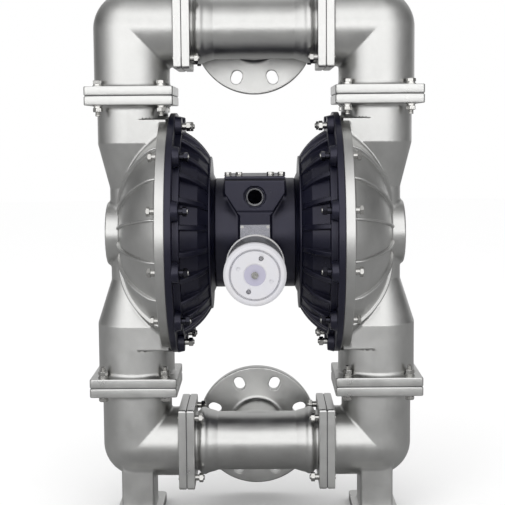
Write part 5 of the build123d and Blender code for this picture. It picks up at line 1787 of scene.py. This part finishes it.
def flush_screw_template():
    """Countersunk screw with a hexagon socket whose face is z = 0."""
    bm = bmesh.new()
    rings = []
    for radius, z in ((COVER_SHANK_RADIUS, -COVER_SHANK_LENGTH), (COVER_SHANK_RADIUS, -3.0),
                      (SCREW_HEAD_RADIUS, -0.25), (SCREW_HEAD_RADIUS - 0.2, 0.0)):
        rings.append([bm.verts.new((radius * math.cos(math.pi * i / 12),
                                    radius * math.sin(math.pi * i / 12), z)) for i in range(24)])
    for z in (0.0, -SOCKET_DEPTH):
        rings.append(hexagon_ring(bm, SOCKET_FLATS, z, 0.0))
    for a, b in zip(rings, rings[1:]):
        bridge(bm, a, b)
    bm.faces.new(list(reversed(rings[0])))
    bm.faces.new(rings[-1])
    return finish_hardware(bm, "flush_screw")


def square_corners(spacing):
    half = spacing / 2
    return [(half, half), (-half, half), (-half, -half), (half, -half)]


def joint_places(offset, outward):
    """Corners of the four joints on the columns, on the side away from the shaft or not."""
    places = []
    for height, away in ((UPPER_JOINT, 1), (-LOWER_JOINT, -1)):
        side = away if outward else -away
        for column in (COLUMN_X, -COLUMN_X):
            for a, b in square_corners(JOINT_BOLT_SPACING):
                point = (column + a, b, height + side * offset)
                places.append((Vector(point), Vector((0, 0, side)), Vector((1, 0, 0))))
    return places


def manifold_places(offset, outward):
    """Corners of the four joints between elbows and manifolds."""
    places = []
    for height in (DISCHARGE_AXIS, -INLET_AXIS):
        for side in (1, -1):
            facing = side if outward else -side
            x = side * MANIFOLD_JOINT + facing * offset
            for a, b in square_corners(TUBE_BOLT_SPACING):
                places.append((Vector((x, a, height + b)), Vector((facing, 0, 0)), Vector((0, 0, 1))))
    return places


def clamp_places(x, outward, wanted=None):
    """Clamp bolts round both rims, all of them or those whose index is wanted."""
    places = []
    for side in (1, -1):
        facing = side if outward else -side
        for i in range(CLAMP_BOLTS):
            if wanted is not None and i not in wanted:
                continue
            angle = math.radians(360 / CLAMP_BOLTS * (i + 0.5))
            point = (side * x, CLAMP_CIRCLE * math.sin(angle), CLAMP_CIRCLE * math.cos(angle))
            places.append((Vector(point), Vector((facing, 0, 0)), Vector((0, 0, 1))))
    return places


class PUMP_OT_fasteners(bpy.types.Operator):
    """Set out every bolt, stud, nut and washer"""

    bl_idname = "pump.fasteners"
    bl_label = "Fasteners"

    def execute(self, context):
        sizes = context.scene.pump_sizes
        rng = random.Random(7)
        joint_face = JOINT_PLATE_THICKNESS + HALF_GASKET
        tube_face = TUBE_PLATE_THICKNESS + HALF_GASKET
        rim_face = CLAMP_X + RIM_THICKNESS
        through = [i for i in range(CLAMP_BOLTS) if i not in STUDS_BESIDE_PIPES]
        clamp_tip = COLLAR_STACK + SHORT_REACH
        clamp_shank = rim_face - LUG_BACK + clamp_tip
        tube_shank = 2 * tube_face + COLLAR_STACK + SHORT_REACH + TAPPED_REACH
        joint_shank = 2 * joint_face + WASHER_STACK + STUD_REACH
        groups = [
            ("joint_bolts", bolt_template(sizes, joint_shank, False),
             joint_places(joint_face, True), ["joint_bolts"]),
            ("joint_nuts", nut_template(False), joint_places(joint_face, False), ["joint_nuts"]),
            ("manifold_studs", stud_template(sizes, tube_shank),
             manifold_places(tube_face + COLLAR_STACK + SHORT_REACH, False), ["manifold_bolts"]),
            ("manifold_nuts", nut_template(True), manifold_places(tube_face, False),
             ["manifold_nuts"]),
            ("clamp_bolts", bolt_template(sizes, clamp_shank, True),
             clamp_places(rim_face, True, through), ["chamber_bolts"]),
            ("clamp_studs", stud_template(sizes, clamp_shank - STUD_INSET),
             clamp_places(LUG_BACK - clamp_tip, False, STUDS_BESIDE_PIPES), []),
            ("clamp_nuts", nut_template(True),
             clamp_places(LUG_BACK, False, STUDS_BESIDE_PIPES), ["chamber_nuts"]),
        ]
        for name, template, places, nodes in groups:
            add_copies("set_" + name, template, places, "stainless_fastener", nodes, LARGEST_TURN,
                       rng.randrange(1000))
        add_copies("set_blackened_nuts", nut_template(True), clamp_places(LUG_BACK, False, through),
                   "stainless_fastener", (), LARGEST_TURN, 5, "blackened_steel")
        self.add_cover_bolts()
        return {"FINISHED"}

    def add_cover_bolts(self):
        """Proud bolts along the front of the valve cover and flush screws at its rear."""
        low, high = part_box("valve_cover")
        seat = high.z / MM - SHAFT_HEIGHT
        rows = ((low.y / MM + COVER_ROW_INSET, small_bolt_template(), ["valve_cover_bolts"]),
                (high.y / MM - COVER_ROW_INSET, flush_screw_template(), []))
        for index, (y, template, nodes) in enumerate(rows):
            places = [(Vector((x, y, seat)), Vector((0, 0, 1)), Vector((1, 0, 0)))
                      for x in COVER_BOLTS_X]
            name = "set_" + ("front", "rear")[index] + "_cover_bolts"
            add_copies(name, template, places, "stainless_fastener", nodes, LARGEST_TURN, 11 + index)


# Stage
def camera_matrix():
    """Place of the photograph's camera, fitted to the outline of the pump."""
    place = (Vector(CAMERA_PLACE) + Vector((0, 0, SHAFT_HEIGHT))) * MM
    yaw, pitch, roll = (math.radians(a) for a in (CAMERA_YAW, CAMERA_PITCH, CAMERA_ROLL))
    ahead = Vector((math.sin(yaw) * math.cos(pitch), math.cos(yaw) * math.cos(pitch),
                    -math.sin(pitch)))
    level = Vector((math.cos(yaw), -math.sin(yaw), 0))
    above = level.cross(ahead)
    right = level * math.cos(roll) + above * math.sin(roll)
    up = above * math.cos(roll) - level * math.sin(roll)
    turn = Matrix((right, up, -ahead)).transposed()
    return Matrix.Translation(place) @ turn.to_4x4()


def add_softbox(name, place, target, width, height, watts):
    light = bpy.data.lights.new(name, "AREA")
    light.shape = "RECTANGLE"
    light.size = width
    light.size_y = height
    light.energy = watts
    lamp = new_object(name, light)
    lamp.location = place
    lamp.rotation_euler = (Vector(target) - Vector(place)).to_track_quat("-Z", "Y").to_euler()
    lamp.visible_camera = False
    lamp.visible_glossy = False


def ramp(tree, value, stops):
    """Values over a range, as a curve through (place, value) stops."""
    node = tree.nodes.new("ShaderNodeFloatCurve")
    curve = node.mapping.curves[0]
    node.mapping.use_clip = False
    for index, (place, level) in enumerate(stops):
        if index < 2:
            point = curve.points[index]
            point.location = (place, level)
        else:
            point = curve.points.new(place, level)
        point.handle_type = "VECTOR"
    node.mapping.update()
    tree.links.new(value, node.inputs["Value"])
    return node.outputs["Value"]


def studio_world():
    """White behind the pump, a bright front in its reflections and dark flanks."""
    world = bpy.data.worlds.new("studio")
    world.use_nodes = True
    world.cycles.sampling_method = "NONE"
    bpy.context.scene.world = world
    tree = world.node_tree
    background = tree.nodes["Background"]
    way = tree.nodes.new("ShaderNodeTexCoord").outputs["Generated"]
    x, y, z = add_node(tree, "ShaderNodeSeparateXYZ", {"Vector": way}).outputs
    flat = math_node(tree, "SQRT", math_node(tree, "ADD", math_node(tree, "MULTIPLY", x, x),
                                             math_node(tree, "MULTIPLY", y, y)))
    aside = math_node(tree, "MULTIPLY", x, STUDIO_FRONT[0])
    ahead = math_node(tree, "MULTIPLY", y, STUDIO_FRONT[1])
    front = math_node(tree, "DIVIDE", math_node(tree, "ADD", aside, ahead), flat)
    half = math_node(tree, "MULTIPLY_ADD", front, 0.5, 0.5)
    around = ramp(tree, half, [(0.0, 0.34), (1.0, 0.92), (0.06, 0.28), (0.16, 0.09), (0.3, 0.07),
                               (0.5, 0.13), (0.65, 0.27), (0.79, 0.62), (0.88, 0.9), (0.95, 0.95)])
    lift = math_node(tree, "MULTIPLY_ADD", z, 0.5, 0.5)
    upright = ramp(tree, lift, [(0.0, 0.2), (1.0, 0.2), (0.4, 0.4), (0.49, 1.5), (0.535, 1.4),
                                (0.587, 0.95), (0.71, 0.9), (0.854, 0.95), (0.93, 0.5)])
    over = ramp(tree, lift, [(0.0, 0.0), (1.0, 0.25), (0.65, 0.0), (0.8, 0.14)])
    glow = math_node(tree, "MULTIPLY", math_node(tree, "MULTIPLY", around, upright), 1.75)
    studio = math_node(tree, "ADD", math_node(tree, "ADD", glow, over), 0.04)
    path = tree.nodes.new("ShaderNodeLightPath")
    mix = add_node(tree, "ShaderNodeMix",
                   {"Factor": path.outputs["Is Glossy Ray"], 2: 1.0, 3: studio})
    tree.links.new(mix.outputs[0], background.inputs["Strength"])
    background.inputs["Color"].default_value = (1, 1, 1, 1)


def floor_material(color):
    """White floor that shows darker in the reflections of the castings."""
    material, tree, shader = new_material("floor_paint", color, 0.0, 0.9)
    shader.inputs["Specular IOR Level"].default_value = 0.0
    mottle = noise(tree, 3.0, 3.0)
    white = mixed_color(tree, mottle, shade(color, 0.995), color)
    path = tree.nodes.new("ShaderNodeLightPath")
    seen = mixed_color(tree, path.outputs["Is Glossy Ray"], white, shade(color, 0.33))
    tree.links.new(seen, shader.inputs["Base Color"])
    return material


class PUMP_OT_stage(bpy.types.Operator):
    """Set the camera, the floor and the studio light"""

    bl_idname = "pump.stage"
    bl_label = "Stage"

    def execute(self, context):
        scene = context.scene
        scene.view_settings.view_transform = "Standard"
        lens = bpy.data.cameras.new("camera")
        lens.sensor_width = SENSOR_WIDTH
        lens.lens = SENSOR_WIDTH * FOCAL_PIXELS / PHOTO_PIXELS
        camera = new_object("camera", lens)
        camera.matrix_world = camera_matrix()
        scene.camera = camera
        mesh = bpy.data.meshes.new("floor")
        bm = bmesh.new()
        bmesh.ops.create_circle(bm, cap_ends=True, segments=96,
                                radius=scene.pump_sizes.floor_radius)
        bm.to_mesh(mesh)
        bm.free()
        floor = new_object("floor", mesh)
        mesh.materials.append(floor_material(tuple(scene.pump_colours.floor)))
        studio_world()
        add_softbox("key", (-1.3, -2.2, 1.7), (0, 0, 0.5), 1.2, 1.2, 10.0)
        add_softbox("top", (0.1, -1.2, 2.6), (0, 0, 0.5), 1.4, 0.9, 8.0)
        return {"FINISHED"}


class PUMP_PT_panel(bpy.types.Panel):
    """Every step of the pump"""

    bl_idname = "PUMP_PT_panel"
    bl_label = "Diaphragm Pump"
    bl_space_type = "VIEW_3D"
    bl_region_type = "UI"
    bl_category = "Pump"

    def draw(self, context):
        for operator in STEPS:
            self.layout.operator(operator.bl_idname)
        for group in (context.scene.pump_sizes, context.scene.pump_colours):
            box = self.layout.box()
            for label in group.__annotations__:
                box.prop(group, label)


STEPS = (
    PUMP_OT_stage,
    PUMP_OT_finishes,
    PUMP_OT_outer_chambers,
    PUMP_OT_dome_ribs,
    PUMP_OT_elbows,
    PUMP_OT_manifolds,
    PUMP_OT_plates,
    PUMP_OT_air_chambers,
    PUMP_OT_diaphragms,
    PUMP_OT_center_body,
    PUMP_OT_valve_cover,
    PUMP_OT_silencer,
    PUMP_OT_fasteners,
)
CLASSES = (PumpSizes, PumpColours, *STEPS, PUMP_PT_panel)


def register():
    for item in CLASSES:
        bpy.utils.register_class(item)
    bpy.types.Scene.pump_sizes = PointerProperty(type=PumpSizes)
    bpy.types.Scene.pump_colours = PointerProperty(type=PumpColours)


def unregister():
    del bpy.types.Scene.pump_colours
    del bpy.types.Scene.pump_sizes
    for item in reversed(CLASSES):
        bpy.utils.unregister_class(item)


def main():
    register()
    for operator in STEPS:
        area, name = operator.bl_idname.split(".")
        getattr(getattr(bpy.ops, area), name)()


if __name__ == "__main__":
    main()
